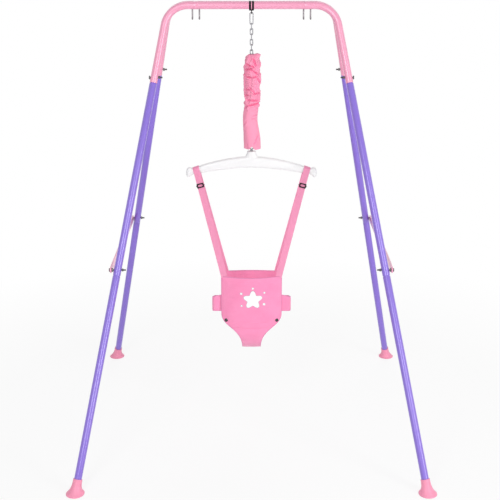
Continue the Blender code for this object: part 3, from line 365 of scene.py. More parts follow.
class SeatSizes(bpy.types.PropertyGroup):
    strap_width: metres("Strap width", 0.019, "Width of the webbing")
    strap_thick: metres("Strap thickness", 0.0015, "Thickness of the webbing")
    strap_bar_x: metres("Strap place", 0.1645, "Where the straps cross the spreader bar")
    top: metres("Seat top", 0.508, "Height of the front panel's upper edge")
    back_top: metres("Back top", 0.468, "Height of the back panel's upper edge")
    width: metres("Seat width", 0.184, "Width of the panels")
    edge_y: metres("Seat edge", 0.082, "Distance of a panel's edge from the middle")
    bulge: metres("Seat bulge", 0.016, "How far a panel's middle stands out before its edges")
    thick: metres("Padding", 0.0060, "Thickness of the padded panels")
    seam: metres("Seat seam", 0.345, "Height where the crotch panel is sewn on")
    seam_width: metres("Seam width", 0.128, "Width of the panels at that seam")
    leg_cut: metres("Leg cut", 0.386, "Height where the leg openings begin")
    bottom: metres("Seat bottom", 0.250, "Lowest point of the seat")
    crotch_width: metres("Crotch width", 0.058, "Width of the seat between the legs")
    wing_reach: metres("Wing reach", 0.120, "Distance of a waist wing from the middle")
    wing_top: metres("Wing top", 0.4477, "Upper edge of the waist wings at the front")
    wing_height: metres("Wing height", 0.0539, "Height of the waist wings at the front")
    wing_fall: metres("Wing fall", 0.0617, "How far the wings' upper edge falls towards the back")
    wing_back: metres("Wing back height", 0.0260, "Height of the waist wings at the back")


class Tints(bpy.types.PropertyGroup):
    pink_paint: tint("Pink paint", (0.87, 0.325, 0.495), "Top tubes, stays and clamps")
    violet_paint: tint("Violet paint", (0.215, 0.120, 0.650), "Leg tubes")
    feet: tint("Feet", (0.95, 0.330, 0.490), "Moulded feet")
    white: tint("White moulding", (0.89, 0.89, 0.89), "Spreader bar")
    black: tint("Black moulding", (0.010, 0.006, 0.009), "Hanger and adjusters")
    zinc: tint("Zinc", (0.34, 0.34, 0.36), "Chain and quick link")
    dark_steel: tint("Dark steel", (0.17, 0.165, 0.17), "Bolts, rivets and snaps")
    hook_steel: tint("Hook steel", (0.30, 0.28, 0.29), "Swing hooks")
    sleeve: tint("Sleeve", (0.96, 0.330, 0.490), "Spring sleeve")
    seat: tint("Seat", (0.99, 0.325, 0.550), "Seat cloth")
    webbing: tint("Webbing", (0.95, 0.360, 0.550), "Straps")
    ink: tint("Print", (0.92, 0.93, 0.94), "Printed star and dots")


class Stand:
    """What the stand's sizes work out to."""

    def __init__(self):
        sizes = bpy.context.scene.jumper_stand
        self.sizes = sizes
        self.tube = sizes.tube_diameter / 2
        self.half = sizes.bar_spacing / 2
        self.height = sizes.bar_height
        self.tilt = atan((sizes.foot_y - self.half) / self.height)
        plane_height = self.height / cos(self.tilt)
        self.lean = atan((sizes.foot_x - sizes.bar_line) / plane_height)
        self.leg = plane_height / cos(self.lean)
        self.stay_at = sizes.leg_joint - sizes.bolt_setback
        self.corner_at = sizes.corner_joint - sizes.bolt_setback
        self.wall = self.tube / cos(self.lean)
        self.beside = self.wall + STAY_END * tan(self.lean) + GAP

    def plane(self, end):
        """A frame's plane: X along its bar, Y across it and Z up the frame."""
        tilted = Matrix.Rotation(end * self.tilt, 4, "X")
        return Matrix.Translation((0, end * self.half, self.height)) @ tilted

    def leg_point(self, side, distance):
        direction = Vector((side * sin(self.lean), 0, -cos(self.lean)))
        return Vector((side * self.sizes.bar_line, 0, 0)) + direction * distance

    def on_leg(self, end, side, distance, angle):
        """A matrix at a distance down a leg, turned in the frame's plane."""
        turned = Matrix.Rotation(angle, 4, "Y")
        return self.plane(end) @ Matrix.Translation(self.leg_point(side, distance)) @ turned

    def stagger(self, end):
        """How much further out a frame's stays lie: the front ones lie over the rear ones."""
        return STAY_THICK + GAP if end < 0 else 0.0


class Field:
    """A shader socket with arithmetic: an expression on it adds its Math nodes."""

    def __init__(self, finish, socket):
        self.finish = finish
        self.socket = socket

    def __add__(self, other):
        return self.finish.math("ADD", self, other)

    def __sub__(self, other):
        return self.finish.math("SUBTRACT", self, other)

    def __rsub__(self, other):
        return self.finish.math("SUBTRACT", other, self)

    def __mul__(self, other):
        return self.finish.math("MULTIPLY", self, other)

    __radd__ = __add__


class Finish:
    """A Principled material and what varies over its surface."""

    def __init__(self, colour, roughness, metallic=0.0, **plain):
        self.material = bpy.data.materials.new("finish")
        self.material.use_nodes = True
        self.tree = self.material.node_tree
        self.shader = self.tree.nodes["Principled BSDF"]
        self.colour = (*colour, 1.0)
        self.material.diffuse_color = self.colour
        plain.update({"Base Color": self.colour, "Roughness": roughness, "Metallic": metallic})
        for key, value in plain.items():
            self.shader.inputs[key.replace("_", " ")].default_value = value

    def node(self, kind, settings=None, sockets=None, output=0):
        """A node of any kind: its settings first, then its sockets' values or links."""
        made = self.tree.nodes.new(kind)
        for key, value in (settings or {}).items():
            if key == "stops":
                self.set_ramp(made.color_ramp, value)
            else:
                setattr(made, key, value)
        for key, value in (sockets or {}).items():
            self.feed(made.inputs[key], value)
        return Field(self, made.outputs[output])

    def set_ramp(self, ramp, stops):
        while len(ramp.elements) < len(stops):
            ramp.elements.new(1.0)
        for element, (place, shade) in zip(ramp.elements, stops):
            element.position = place
            element.color = (shade, shade, shade, 1.0)

    def feed(self, socket, value):
        if isinstance(value, Field):
            self.tree.links.new(value.socket, socket)
        else:
            socket.default_value = value

    def math(self, operation, *values):
        return self.node("ShaderNodeMath", {"operation": operation}, dict(enumerate(values)))

    def ribs(self, field, pitch):
        """A wave along a field, with its pitch in metres."""
        return self.math("SINE", field * (2 * pi / pitch))

    def place(self):
        return self.node("ShaderNodeTexCoord", output="Object")

    def cloth(self):
        """Across and along the piece's UV map, which is in metres."""
        sheet = self.node("ShaderNodeTexCoord", output="UV")
        return self.part(sheet, 0), self.part(sheet, 1)

    def part(self, vector, axis):
        return self.node("ShaderNodeSeparateXYZ", sockets={0: vector}, output=axis)

    def stretched(self, vector, scale):
        return self.node("ShaderNodeMapping", sockets={0: vector, "Scale": scale})

    def noise(self, vector, scale, detail=2.0, roughness=0.5):
        sockets = {"Vector": vector, "Scale": scale, "Detail": detail, "Roughness": roughness}
        return self.node("ShaderNodeTexNoise", sockets=sockets)

    def ramp(self, value, *stops):
        return self.node("ShaderNodeValToRGB", {"stops": stops}, {0: value})

    def shade(self, share, darker):
        """Mixes the finish's colour with a darker or lighter one of the same hue."""
        second = tuple(min(1.0, c * d) for c, d in zip(self.colour[:3], darker)) + (1.0,)
        sockets = {0: share, 6: self.colour, 7: second}
        mixed = self.node("ShaderNodeMix", {"data_type": "RGBA"}, sockets, output=2)
        self.feed(self.shader.inputs["Base Color"], mixed)

    def roughen(self, value):
        self.feed(self.shader.inputs["Roughness"], value)

    def bump(self, height, distance, strength):
        sockets = {"Height": height, "Distance": distance, "Strength": strength}
        self.feed(self.shader.inputs["Normal"], self.node("ShaderNodeBump", sockets=sockets))


def scaled(colour, factors):
    return [c * d for c, d in zip(colour, factors)]


def painted(colour):
    """Powder coat: a fine orange peel under a clear gloss, a little duller where hands rub it."""
    f = Finish(colour, 0.32, Coat_Weight=1.0, Coat_Roughness=0.28, Coat_IOR=1.65)
    place = f.place()
    rubbed = f.noise(place, 14.0, 4.0)
    f.shade(f.ramp(rubbed, (0.42, 0.0), (0.72, 1.0)) * 0.5, (0.94, 0.90, 0.93))
    f.roughen(0.24 + rubbed * 0.16)
    f.bump(f.noise(place, 330.0, 1.0), 0.00004, 0.08)
    return f.material


def moulded(colour, roughness, grain, depth, shine=0.5):
    """Injection moulded plastic with a fine grain and faint flow marks."""
    f = Finish(colour, roughness, Specular_IOR_Level=shine)
    place = f.place()
    flow = f.noise(f.stretched(place, (9.0, 9.0, 26.0)), 1.0, 3.0)
    f.shade(f.ramp(flow, (0.35, 0.0), (0.75, 1.0)) * 0.6, (0.93, 0.92, 0.93))
    f.roughen(roughness - 0.05 + flow * 0.12)
    f.bump(f.noise(place, grain, 2.0), depth, 0.6)
    return f.material


def plated(colour, roughness):
    """Plated steel: mottled plating with fine drawing marks."""
    f = Finish(colour, roughness, 1.0)
    place = f.place()
    mottle = f.noise(place, 260.0, 5.0, 0.6)
    f.shade(f.ramp(mottle, (0.38, 0.0), (0.66, 1.0)), (0.72, 0.72, 0.74))
    f.roughen(roughness - 0.06 + mottle * 0.22)
    f.bump(f.noise(place, 1800.0, 3.0), 0.00004, 0.5)
    return f.material


def gunmetal(colour):
    """Dark plating, polished."""
    f = Finish(scaled(colour, (0.45, 0.45, 0.45)), 0.16, 1.0)
    rubbed = f.noise(f.place(), 420.0, 3.0)
    f.shade(f.ramp(rubbed, (0.45, 0.0), (0.75, 1.0)) * 0.6, (1.6, 1.6, 1.6))
    f.roughen(0.12 + rubbed * 0.14)
    return f.material


def woven(f, across, along, pitch):
    """The height of a plain weave with this thread pitch."""
    return f.ribs(across, pitch) * f.ribs(along, pitch)


def brushed(colour):
    """Brushed cotton: a plain weave with painted shade in its hollows, a soft nap and slight unevenness
    in the dye.
    """
    f = Finish(colour, 0.82, Sheen_Weight=0.35, Sheen_Roughness=0.5)
    place = f.place()
    weave = woven(f, *f.cloth(), 0.00085)
    dye = f.noise(place, 24.0, 4.0)
    nap = f.noise(place, 1600.0, 3.0, 0.7)
    # Painted shade: the weave's low points are tinted darker; the dye noise and the nap are random tone.
    shade = f.ramp(dye, (0.36, 0.0), (0.70, 1.0)) * 0.35 + (0.5 - weave * 0.5) * 0.22
    f.shade(shade + nap * 0.12, (0.93, 0.70, 0.80))
    f.bump(weave * 0.6 + nap, 0.00016, 0.55)
    return f.material


def bias_bound(colour):
    """The bias binding round the panels: a finer cloth, slightly deeper in colour."""
    f = Finish(scaled(colour, (0.84, 0.86, 0.90)), 0.78, Sheen_Weight=0.25, Sheen_Roughness=0.5)
    place = f.place()
    ribs = f.ribs(f.part(place, 0) + f.part(place, 2), 0.0007)
    nap = f.noise(place, 1300.0, 3.0, 0.7)
    f.shade(nap * 0.4 + ribs * 0.1, (0.92, 0.72, 0.82))
    f.bump(ribs * 0.5 + nap, 0.00012, 0.5)
    return f.material


def twisted(colour):
    """Sewing thread, paler than the cloth."""
    f = Finish(scaled(colour, (1.0, 1.25, 1.15)), 0.6)
    twist = f.noise(f.place(), 2600.0, 1.0)
    f.shade(twist * 0.6, (0.85, 0.75, 0.8))
    f.bump(twist, 0.00008, 0.6)
    return f.material


def gathered(colour):
    """Thin gathered cotton with painted shade: darker down in its folds and creases."""
    f = Finish(colour, 0.80, Sheen_Weight=0.3, Sheen_Roughness=0.45)
    place = f.place()
    weave = woven(f, *f.cloth(), 0.0007)
    fold = f.node("ShaderNodeAttribute", {"attribute_name": "fold"}, output="Fac")
    nap = f.noise(place, 1400.0, 3.0, 0.7)
    # Painted shade: where the cloth lies closed in a fold or crease it is tinted darker; the nap adds a
    # little random tone.
    shade = f.ramp(fold, (0.0, 1.0), (0.35, 0.62), (0.70, 0.20), (1.0, 0.0)) * 0.9 + nap * 0.06
    f.shade(shade, (0.88, 0.50, 0.68))
    creases = f.noise(f.stretched(place, (30.0, 30.0, 110.0)), 1.0, 1.0)
    f.bump(creases * 1.6 + weave * 0.15 + nap * 0.2, 0.00016, 0.35)
    return f.material


def webbed(colour):
    """Flat woven webbing: cords along it and closer picks across it, with painted shade in the hollows
    between them.
    """
    f = Finish(colour, 0.70, Sheen_Weight=0.2, Sheen_Roughness=0.4)
    across, along = f.cloth()
    cords = f.ribs(across, 0.00125)
    picks = f.math("SINE", along * (2 * pi / 0.0010) + cords * 1.2)
    nap = f.noise(f.place(), 1500.0, 2.0)
    # Painted shade: darker where the cords and picks are low; the nap is random tone.
    f.shade((0.5 - cords * 0.3 - picks * 0.2) * 0.5 + nap * 0.12, (0.90, 0.66, 0.78))
    f.bump(cords + picks * 0.7 + nap * 0.4, 0.00018, 0.6)
    return f.material


def printed(colour):
    """Rubbery screen print, finely cracked by the weave below it."""
    f = Finish(colour, 0.55)
    place = f.place()
    weave = woven(f, f.part(place, 0), f.part(place, 2), 0.00085)
    speck = f.noise(place, 900.0, 2.0)
    f.shade(f.ramp(speck, (0.55, 0.0), (0.72, 1.0)) * 0.5, (0.93, 0.86, 0.90))
    f.bump(weave * 0.6 + speck, 0.00010, 0.5)
    return f.material


def outlined(colour):
    """The grey line round the print."""
    f = Finish(scaled(colour, (0.55, 0.55, 0.55)), 0.6)
    f.shade(f.noise(f.place(), 700.0, 2.0) * 0.7, (0.9, 0.7, 0.8))
    return f.material


# Each finish: its slot, the function that makes it, its tint and what else the function is told.
FINISHES = {
    "pink_paint": ("pink_paint", painted, "pink_paint"),
    "violet_paint": ("purple_paint", painted, "violet_paint"),
    "foot_plastic": ("pink_plastic", moulded, "feet", 0.42, 1500.0, 0.00005),
    "white_plastic": ("white_plastic", moulded, "white", 0.32, 700.0, 0.00004),
    "black_plastic": ("black_plastic", moulded, "black", 0.50, 2200.0, 0.00006, 0.25),
    "zinc": ("zinc_steel", plated, "zinc", 0.28),
    "dark_steel": ("dark_steel", plated, "dark_steel", 0.36),
    "hook_steel": ("dark_steel", plated, "hook_steel", 0.34),
    "snap_steel": ("dark_steel", gunmetal, "dark_steel"),
    "seat_cloth": ("seat_cloth", brushed, "seat"),
    "binding_cloth": ("seat_cloth", bias_bound, "seat"),
    "thread": ("seat_cloth", twisted, "seat"),
    "sleeve_cloth": ("sleeve_cloth", gathered, "sleeve"),
    "webbing": ("pink_webbing", webbed, "webbing"),
    "print_ink": ("seat_cloth", printed, "ink"),
    "print_edge": ("seat_cloth", outlined, "ink"),
}


def settle(name, made, finish, body, *replaced, sharp=SHARP):
    """Names a finished piece, gives it its finish and body, and hides the nodes it stands for."""
    mesh = to_mesh(made) if isinstance(made, bmesh.types.BMesh) else made
    mesh.name = name
    mesh.shade_smooth()
    mesh.set_sharp_from_angle(angle=radians(sharp))
    slot, make, colour, *told = FINISHES[finish]
    key = "jumper_" + finish
    if key not in bpy.data.materials:
        make(getattr(bpy.context.scene.jumper_tints, colour), *told).name = key
    mesh.materials.clear()
    mesh.materials.append(bpy.data.materials[key])
    obj = bpy.data.objects.new(name, mesh)
    bpy.context.scene.collection.objects.link(obj)
    if body:
        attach(obj, body)
    if replaced:
        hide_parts(*replaced)
    return obj


def clamp(value, low=0.0, high=1.0):
    return max(low, min(high, value))


def shares(steps):
    return [i / steps for i in range(steps + 1)]


def to_mesh(bm, recalculate=True):
    if recalculate:
        bmesh.ops.recalc_face_normals(bm, faces=bm.faces[:])
    mesh = bpy.data.meshes.new("mesh")
    bm.to_mesh(mesh)
    bm.free()
    return mesh


def absorb(bm, mesh):
    """Adds a mesh to a bmesh and removes it."""
    bm.from_mesh(mesh)
    bpy.data.meshes.remove(mesh)


def ease(bm, edges, width):
    bmesh.ops.bevel(
        bm, geom=edges, offset=width, segments=2, affect="EDGES", profile=0.5, material=-1
    )


def facing(point, direction):
    """A matrix at a point whose Z axis runs along a direction."""
    return Matrix.Translation(point) @ direction.to_track_quat("Z", "Y").to_matrix().to_4x4()


def arc(centre, first, second, radius, start, end, steps):
    """Points on an arc in the plane of two unit directions, angles in degrees."""
    turns = [radians(start + (end - start) * i / steps) for i in range(steps + 1)]
    return [centre + (first * cos(a) + second * sin(a)) * radius for a in turns]


def wire_mesh(points, diameter, closed=False, sides=FINE):
    """A round wire along a path, made by a curve's bevel."""
    data = bpy.data.curves.new("wire", "CURVE")
    data.dimensions = "3D"
    data.bevel_depth = diameter / 2
    data.bevel_resolution = (sides - 4) // 2
    data.use_fill_caps = not closed
    spline = data.splines.new("POLY")
    spline.points.add(len(points) - 1)
    for place, point in zip(spline.points, points):
        place.co = (*point, 1.0)
    spline.use_cyclic_u = closed
    holder = bpy.data.objects.new("wire", data)
    mesh = bpy.data.meshes.new_from_object(holder)
    bpy.data.objects.remove(holder)
    bpy.data.curves.remove(data)
    bm = bmesh.new()
    absorb(bm, mesh)
    bmesh.ops.remove_doubles(bm, verts=bm.verts[:], dist=0.00001)
    return bm


def edges_of(verts):
    return list({edge for vert in verts for edge in vert.link_edges})


def edges_over(bm, angle):
    """The edges whose two faces meet at more than an angle in degrees."""
    return [edge for edge in bm.edges if edge.calc_face_angle(0) > radians(angle)]


def circle_loop(bm, matrix, radius, sides):
    made = bmesh.ops.create_circle(bm, segments=sides, radius=radius, matrix=matrix)
    return edges_of(made["verts"])


def skin(bm, loops, rims):
    """Joins loops of edges in a row and closes the rims with a face each."""
    for first, second in zip(loops, loops[1:]):
        bmesh.ops.bridge_loops(bm, edges=first + second)
    bmesh.ops.holes_fill(bm, edges=rims, sides=0)


def loft(rings, sides=ROUND):
    """A body through circles in a row, each given as a matrix and a radius."""
    bm = bmesh.new()
    loops = [circle_loop(bm, matrix, radius, sides) for matrix, radius in rings]
    skin(bm, loops, loops[0] + loops[-1])
    return bm


def turn(bm, matrix, profile):
    """Spins a profile of radii and heights round a matrix's Z axis."""
    verts = [bm.verts.new(matrix @ Vector((radius, 0, height))) for radius, height in profile]
    edges = [bm.edges.new(pair) for pair in zip(verts, verts[1:])]
    axis = matrix.to_3x3() @ Z_AXIS
    bmesh.ops.spin(
        bm, geom=verts + edges, cent=matrix.translation, axis=axis, angle=2 * pi, steps=ROUND,
        use_merge=True, use_duplicate=False,
    )
    bmesh.ops.remove_doubles(bm, verts=bm.verts[:], dist=0.000005)


def turned(matrix, profile):
    bm = bmesh.new()
    turn(bm, matrix, profile)
    return bm


def hex_block(bm, matrix, across_flats, height):
    """A hexagon block on a matrix's XY plane, its edges eased."""
    radius = across_flats / 2 / cos(pi / 6)
    at = matrix @ Matrix.Translation((0, 0, height / 2))
    made = bmesh.ops.create_cone(
        bm, cap_ends=True, segments=6, radius1=radius, radius2=radius, depth=height, matrix=at
    )
    ease(bm, edges_of(made["verts"]), 0.0005)


def bead(bm, matrix, diameter):
    """A ball at the end of a wire or over its weld."""
    bmesh.ops.create_uvsphere(
        bm, u_segments=FINE, v_segments=8, radius=diameter / 2, matrix=matrix
    )


def flat_link(outline, thickness):
    """Extrudes an outline towards a side, sinks a pocket into its far face and eases the edges."""
    bm = bmesh.new()
    face = bm.faces.new([bm.verts.new(point) for point in outline])
    lifted = bmesh.ops.extrude_face_region(bm, geom=[face])["geom"]
    top = next(item for item in lifted if isinstance(item, bmesh.types.BMFace))
    bmesh.ops.translate(bm, verts=top.verts[:], vec=thickness)
    for inset in (STAY_RIM, STAY_POCKET * 0.5):
        bmesh.ops.inset_region(bm, faces=[top], thickness=inset, use_even_offset=True)
    bmesh.ops.translate(bm, verts=top.verts[:], vec=-thickness.normalized() * STAY_POCKET)
    ease(bm, edges_over(bm, 40), EASE)
    return bm


def band(path, across, wall, bevel=EASE):
    """A strip bent along a closed path, as wide as a vector, with its wall on the outside."""
    bm = bmesh.new()
    verts = [bm.verts.new(point) for point in path]
    edges = [bm.edges.new(pair) for pair in zip(verts, verts[1:] + verts[:1])]
    made = bmesh.ops.extrude_edge_only(bm, edges=edges)["geom"]
    moved = [item for item in made if isinstance(item, bmesh.types.BMVert)]
    bmesh.ops.translate(bm, verts=moved, vec=across)
    faces = [item for item in made if isinstance(item, bmesh.types.BMFace)]
    bmesh.ops.recalc_face_normals(bm, faces=faces)
    bmesh.ops.solidify(bm, geom=faces, thickness=wall)
    ease(bm, edges_over(bm, 60), bevel)
    return bm


def cloth_grid(columns, rows, place, width, length, fold_shade_at=None):
    """A grid whose points lie on a surface, place(u, v), with a UV map in metres."""
    bm = bmesh.new()
    uv = bm.loops.layers.uv.new("UVMap")
    # Each point can carry how open the cloth lies there, which the sleeve's finish turns into painted
    # shade in its folds.
    fold = bm.verts.layers.float.new("fold") if fold_shade_at else None
    bmesh.ops.create_grid(bm, x_segments=columns, y_segments=rows, size=0.5, calc_uvs=True)
    for face in bm.faces:
        for loop in face.loops:
            loop[uv].uv = (loop[uv].uv[0] * width, loop[uv].uv[1] * length)
    for vert in bm.verts:
        u, v = vert.co.x + 0.5, vert.co.y + 0.5
        vert.co = place(u, v)
        if fold_shade_at:
            vert[fold] = fold_shade_at(u, v)
    return bm


def spaced(points, spacing):
    """Even steps along a path: each a place and the direction there."""
    found = []
    carried = spacing / 2
    for first, second in zip(points, points[1:]):
        run = (second - first).length
        while carried < run:
            found.append((first.lerp(second, carried / run), (second - first).normalized()))
            carried += spacing
        carried -= run
    return found


def stitches(name, lines, spacing=0.0034, length=0.0024, radius=0.00035):
    """Rows of short thread stitches on the seat, each a flattened bead along its line."""
    size = Matrix.Diagonal((radius, radius, length / 2, 1.0))
    one = bmesh.new()
    bmesh.ops.create_uvsphere(one, u_segments=6, v_segments=4, radius=1.0, matrix=size)
    stitch = to_mesh(one)
    bm = bmesh.new()
    for line in lines:
        for point, direction in spaced(line, spacing):
            at = facing(point, direction)
            stitch.transform(at)
            bm.from_mesh(stitch)
            stitch.transform(at.inverted())
    bpy.data.meshes.remove(stitch)
    settle(name, to_mesh(bm, False), "thread", "seat", sharp=80)


class JUMPER_OT_tubes(bpy.types.Operator):
    """Bends the two top tubes and sets the eight leg tubes below them"""

    bl_idname = "jumper.tubes"
    bl_label = "Tubes"

    def execute(self, context):
        stand = Stand()
        sizes = stand.sizes
        corner, joint = sizes.corner_joint, sizes.leg_joint
        spans = (("upper", corner, joint), ("lower", joint, stand.leg - LEG_END))
        for end_name, end in ENDS:
            plane = stand.plane(end)
            name = f"{end_name}_top_tube"
            path = [plane @ point for point in self.bent(stand)]
            bm = wire_mesh(path, sizes.tube_diameter, sides=ROUND)
            settle(f"{name}_bent", bm, "pink_paint", f"{end_name}_frame", name)
            for side_name, side in SIDES:
                for span, start, stop in spans:
                    name = f"{end_name}_{side_name}_{span}_leg"
                    bm = self.leg(stand, end, side, start, stop)
                    settle(f"{name}_tube", bm, "violet_paint", f"{end_name}_frame", name)
        return {"FINISHED"}

    def bent(self, stand):
        """The middle line of a top tube, in its frame's plane."""
        sizes = stand.sizes
        lean = degrees(stand.lean)
        reach = sizes.bend_radius * tan((pi / 2 - stand.lean) / 2)
        path = [stand.leg_point(-1, sizes.corner_joint)]
        for side in (-1, 1):
            centre = Vector((side * (sizes.bar_line - reach), 0, -sizes.bend_radius))
            bend = arc(centre, side * X_AXIS, Z_AXIS, sizes.bend_radius, lean, 90, 20)
            path += bend if side < 0 else bend[::-1]
        return path + [stand.leg_point(1, sizes.corner_joint)]

    def leg(self, stand, end, side, start, stop):
        """One leg tube with its reduced end just showing below the tube above."""
        wide = stand.tube
        neck = wide - NECK_STEP
        rings = [(neck, start + NECK_START), (neck, start + NECK_STOP)]
        rings += [(wide, start + NECK_WIDE), (wide, stop)]
        down = pi - side * stand.lean
        return loft([(stand.on_leg(end, side, at, down), radius) for radius, at in rings])


class JUMPER_OT_feet(bpy.types.Operator):
    """Moulds the trumpet-shaped feet"""

    bl_idname = "jumper.feet"
    bl_label = "Feet"

    def execute(self, context):
        stand = Stand()
        sizes = stand.sizes
        for end_name, end in ENDS:
            for side_name, side in SIDES:
                base = Vector((side * sizes.foot_x, end * sizes.foot_y, 0))
                corner = stand.plane(end) @ Vector((side * sizes.bar_line, 0, 0))
                up = (corner - base).normalized()
                rings = []
                for radius, height, share in self.profile(stand):
                    at = facing(base + up * height / up.z, Z_AXIS.slerp(up, share))
                    rings.append((at, radius))
                name = f"{end_name}_{side_name}_foot"
                settle(f"{name}_cap", loft(rings, 48), "foot_plastic", f"{end_name}_frame", name)
        return {"FINISHED"}

    def profile(self, stand):
        """The foot's radii and heights, and how far each ring leans with the leg."""
        sizes = stand.sizes
        base = sizes.foot_diameter / 2
        bore = stand.tube + FIT
        neck = bore + FOOT_WALL
        top = sizes.foot_height
        profile = [(base + offset, height, 0.0) for offset, height in FOOT_SOLE]
        for t in shares(16):
            radius = neck + (base - FOOT_RIM - neck) * (1 - t) ** FOOT_CURVE
            profile.append((radius, FOOT_BASE + (top - FOOT_BASE) * t, min(1.0, 1.3 * t)))
        return profile + [
            (neck - 0.0006, top + FOOT_LIP, 1.0), (bore, top + FOOT_LIP, 1.0), (bore, top - 0.006, 1.0)
        ]


class JUMPER_OT_bolts(bpy.types.Operator):
    """Sets the hex bolts, washers and nuts through the tube joints"""

    bl_idname = "jumper.bolts"
    bl_label = "Bolts"

    def execute(self, context):
        stand = Stand()
        corner_head = stand.wall + BOLT_HEAD_ACROSS / 2 * tan(stand.lean) + GAP
        for end_name, end in ENDS:
            stagger = stand.stagger(end)
            collar = (stand.beside, stand.beside + stagger - GAP) if stagger else None
            stay_head = stand.beside + stagger + STAY_THICK + GAP
            for side_name, side in SIDES:
                for kind, at, head, ring in (
                    ("corner_bolt", stand.corner_at, corner_head, None),
                    ("stay_bolt", stand.stay_at, stay_head, collar),
                ):
                    name = f"{end_name}_{side_name}_{kind}"
                    bm = self.bolt(stand, stand.on_leg(end, side, at, -side * pi / 2), head, ring)
                    settle(f"{name}_set", bm, "dark_steel", f"{end_name}_frame", name, sharp=30)
        return {"FINISHED"}

    def bolt(self, stand, inward, head, collar):
        """A bolt with its head outside, its nut inside, and a collar where a stay stands off."""
        shank = BOLT_SHANK / 2
        across = BOLT_HEAD_ACROSS / 2
        nut = stand.wall + NUT_ACROSS / 2 * tan(stand.lean) + GAP
        bm = bmesh.new()
        outside = inward @ Matrix.Translation((0, 0, -head - BOLT_HEAD))
        hex_block(bm, outside, BOLT_HEAD_ACROSS * HEAD_SHARE, BOLT_HEAD - WASHER_SINK)
        washer = [(shank, 0), (across, 0), (across, WASHER), (shank, WASHER), (shank, 0)]
        turn(bm, inward @ Matrix.Translation((0, 0, -head - WASHER)), washer)
        if collar:
            near, far = collar
            ring = [(shank, -far), (across, -far), (across, -near), (shank, -near), (shank, -far)]
            turn(bm, inward, ring)
        end = nut + NUT_HEIGHT
        profile = [(0, -head), (shank * SHANK_SHARE, -head), (shank * SHANK_SHARE, end)]
        for i in range(int(BOLT_TAIL / THREAD_PITCH)):
            profile.append((shank - THREAD_PITCH * THREAD_DEPTH, end + i * THREAD_PITCH))
            profile.append((shank, end + (i + 0.5) * THREAD_PITCH))
        turn(bm, inward, profile + [(0, end + BOLT_TAIL)])
        hex_block(bm, inward @ Matrix.Translation((0, 0, nut)), NUT_ACROSS, NUT_HEIGHT)
        return bm


class JUMPER_OT_stays(bpy.types.Operator):
    """Presses the four stay links and rivets them at the middle"""

    bl_idname = "jumper.stays"
    bl_label = "Stays"

    def execute(self, context):
        stand = Stand()
        dome = [(BOLT_HEAD_ACROSS / 2 * share, height) for share, height in RIVET_DOME]
        dome += [(BOLT_SHANK / 2, GAP), (BOLT_SHANK / 2, -STAY_THICK), (0, -STAY_THICK)]
        for end_name, end in ENDS:
            for side_name, side in SIDES:
                pivot = stand.plane(end) @ stand.leg_point(side, stand.stay_at)
                face = abs(pivot.x) + stand.beside + stand.stagger(end)
                tag = f"{end_name}_{side_name}"
                body = f"{tag}_stay_link"
                bm = flat_link(self.outline(side * face, pivot), side * X_AXIS * STAY_THICK)
                settle(f"{tag}_stay_pressed", bm, "pink_paint", body, f"{tag}_stay")
                out = -side * end
                rivet_face = side * (face + STAY_THICK if end < 0 else face)
                at = Matrix.Translation((rivet_face, 0, pivot.z))
                bm = turned(at @ Matrix.Rotation(out * pi / 2, 4, "Y"), dome)
                settle(f"{tag}_rivet_head", bm, "dark_steel", body, f"{tag}_rivet")
        return {"FINISHED"}

    def outline(self, x, pivot):
        """Round ends on the pivots that widen to the link's full height."""
        start = Vector((x, pivot.y, pivot.z))
        stop = Vector((x, 0, pivot.z))
        way = (stop - start).normalized()
        near = start + way * STAY_TAPER
        far = stop - way * STAY_TAPER
        rise = Z_AXIS * STAY_HALF_HEIGHT
        points = arc(start, way, Z_AXIS, STAY_END, 90, 270, 14) + [near - rise, far - rise]
        return points + arc(stop, way, Z_AXIS, STAY_END, -90, 90, 14) + [far + rise, near + rise]


def bar_loop(stand, radius, x):
    """A path round both bars, at one X."""
    rear = Vector((x, stand.half, stand.height))
    front = Vector((x, -stand.half, stand.height))
    rear_half = arc(rear, Y_AXIS, Z_AXIS, radius, -90, 90, 24)
    return rear_half + arc(front, Y_AXIS, Z_AXIS, radius, 90, 270, 24)


class JUMPER_OT_swing_hooks(bpy.types.Operator):
    """Closes the saddle clamps round the bars and bends the swing hooks below them"""

    bl_idname = "jumper.swing_hooks"
    bl_label = "Clamps and hooks"

    def execute(self, context):
        stand = Stand()
        inner = stand.tube + FIT
        bridge = stand.height - inner + GAP + HOOK_WIRE / 2
        low = HOOK_BOTTOM + HOOK_WIRE / 2 + HOOK_CURL
        half = arc(Vector((HOOK_SPREAD, -HOOK_CURL, low)), -Y_AXIS, Z_AXIS, HOOK_CURL, -10, -180, 20)
        corner = Vector((HOOK_SPREAD - HOOK_BEND, 0, bridge - HOOK_BEND))
        half += arc(corner, X_AXIS, Z_AXIS, HOOK_BEND, 0, 90, 8)
        hooks = half + [Vector((-p.x, p.y, p.z)) for p in half[::-1]]
        for side_name, side in SIDES:
            loop = bar_loop(stand, inner, side * CLAMP_X - CLAMP_WIDTH / 2)
            name = f"{side_name}_saddle_clamp"
            bm = band(loop, X_AXIS * CLAMP_WIDTH, CLAMP_WALL)
            settle(f"{name}_band", bm, "pink_paint", "front_frame", name)
            path = [point + Vector((side * CLAMP_X, 0, 0)) for point in hooks]
            bm = wire_mesh(path, HOOK_WIRE)
            for tip in (path[0], path[-1]):
                bead(bm, Matrix.Translation(tip), HOOK_WIRE)
            name = f"{side_name}_swing_hooks"
            settle(f"{name}_wire", bm, "hook_steel", "front_frame", name)
        return {"FINISHED"}


def lug_centre(stand):
    return stand.height - stand.tube - FIT - HANGER_WALL - LUG_DROP - LUG_HOLE / 2


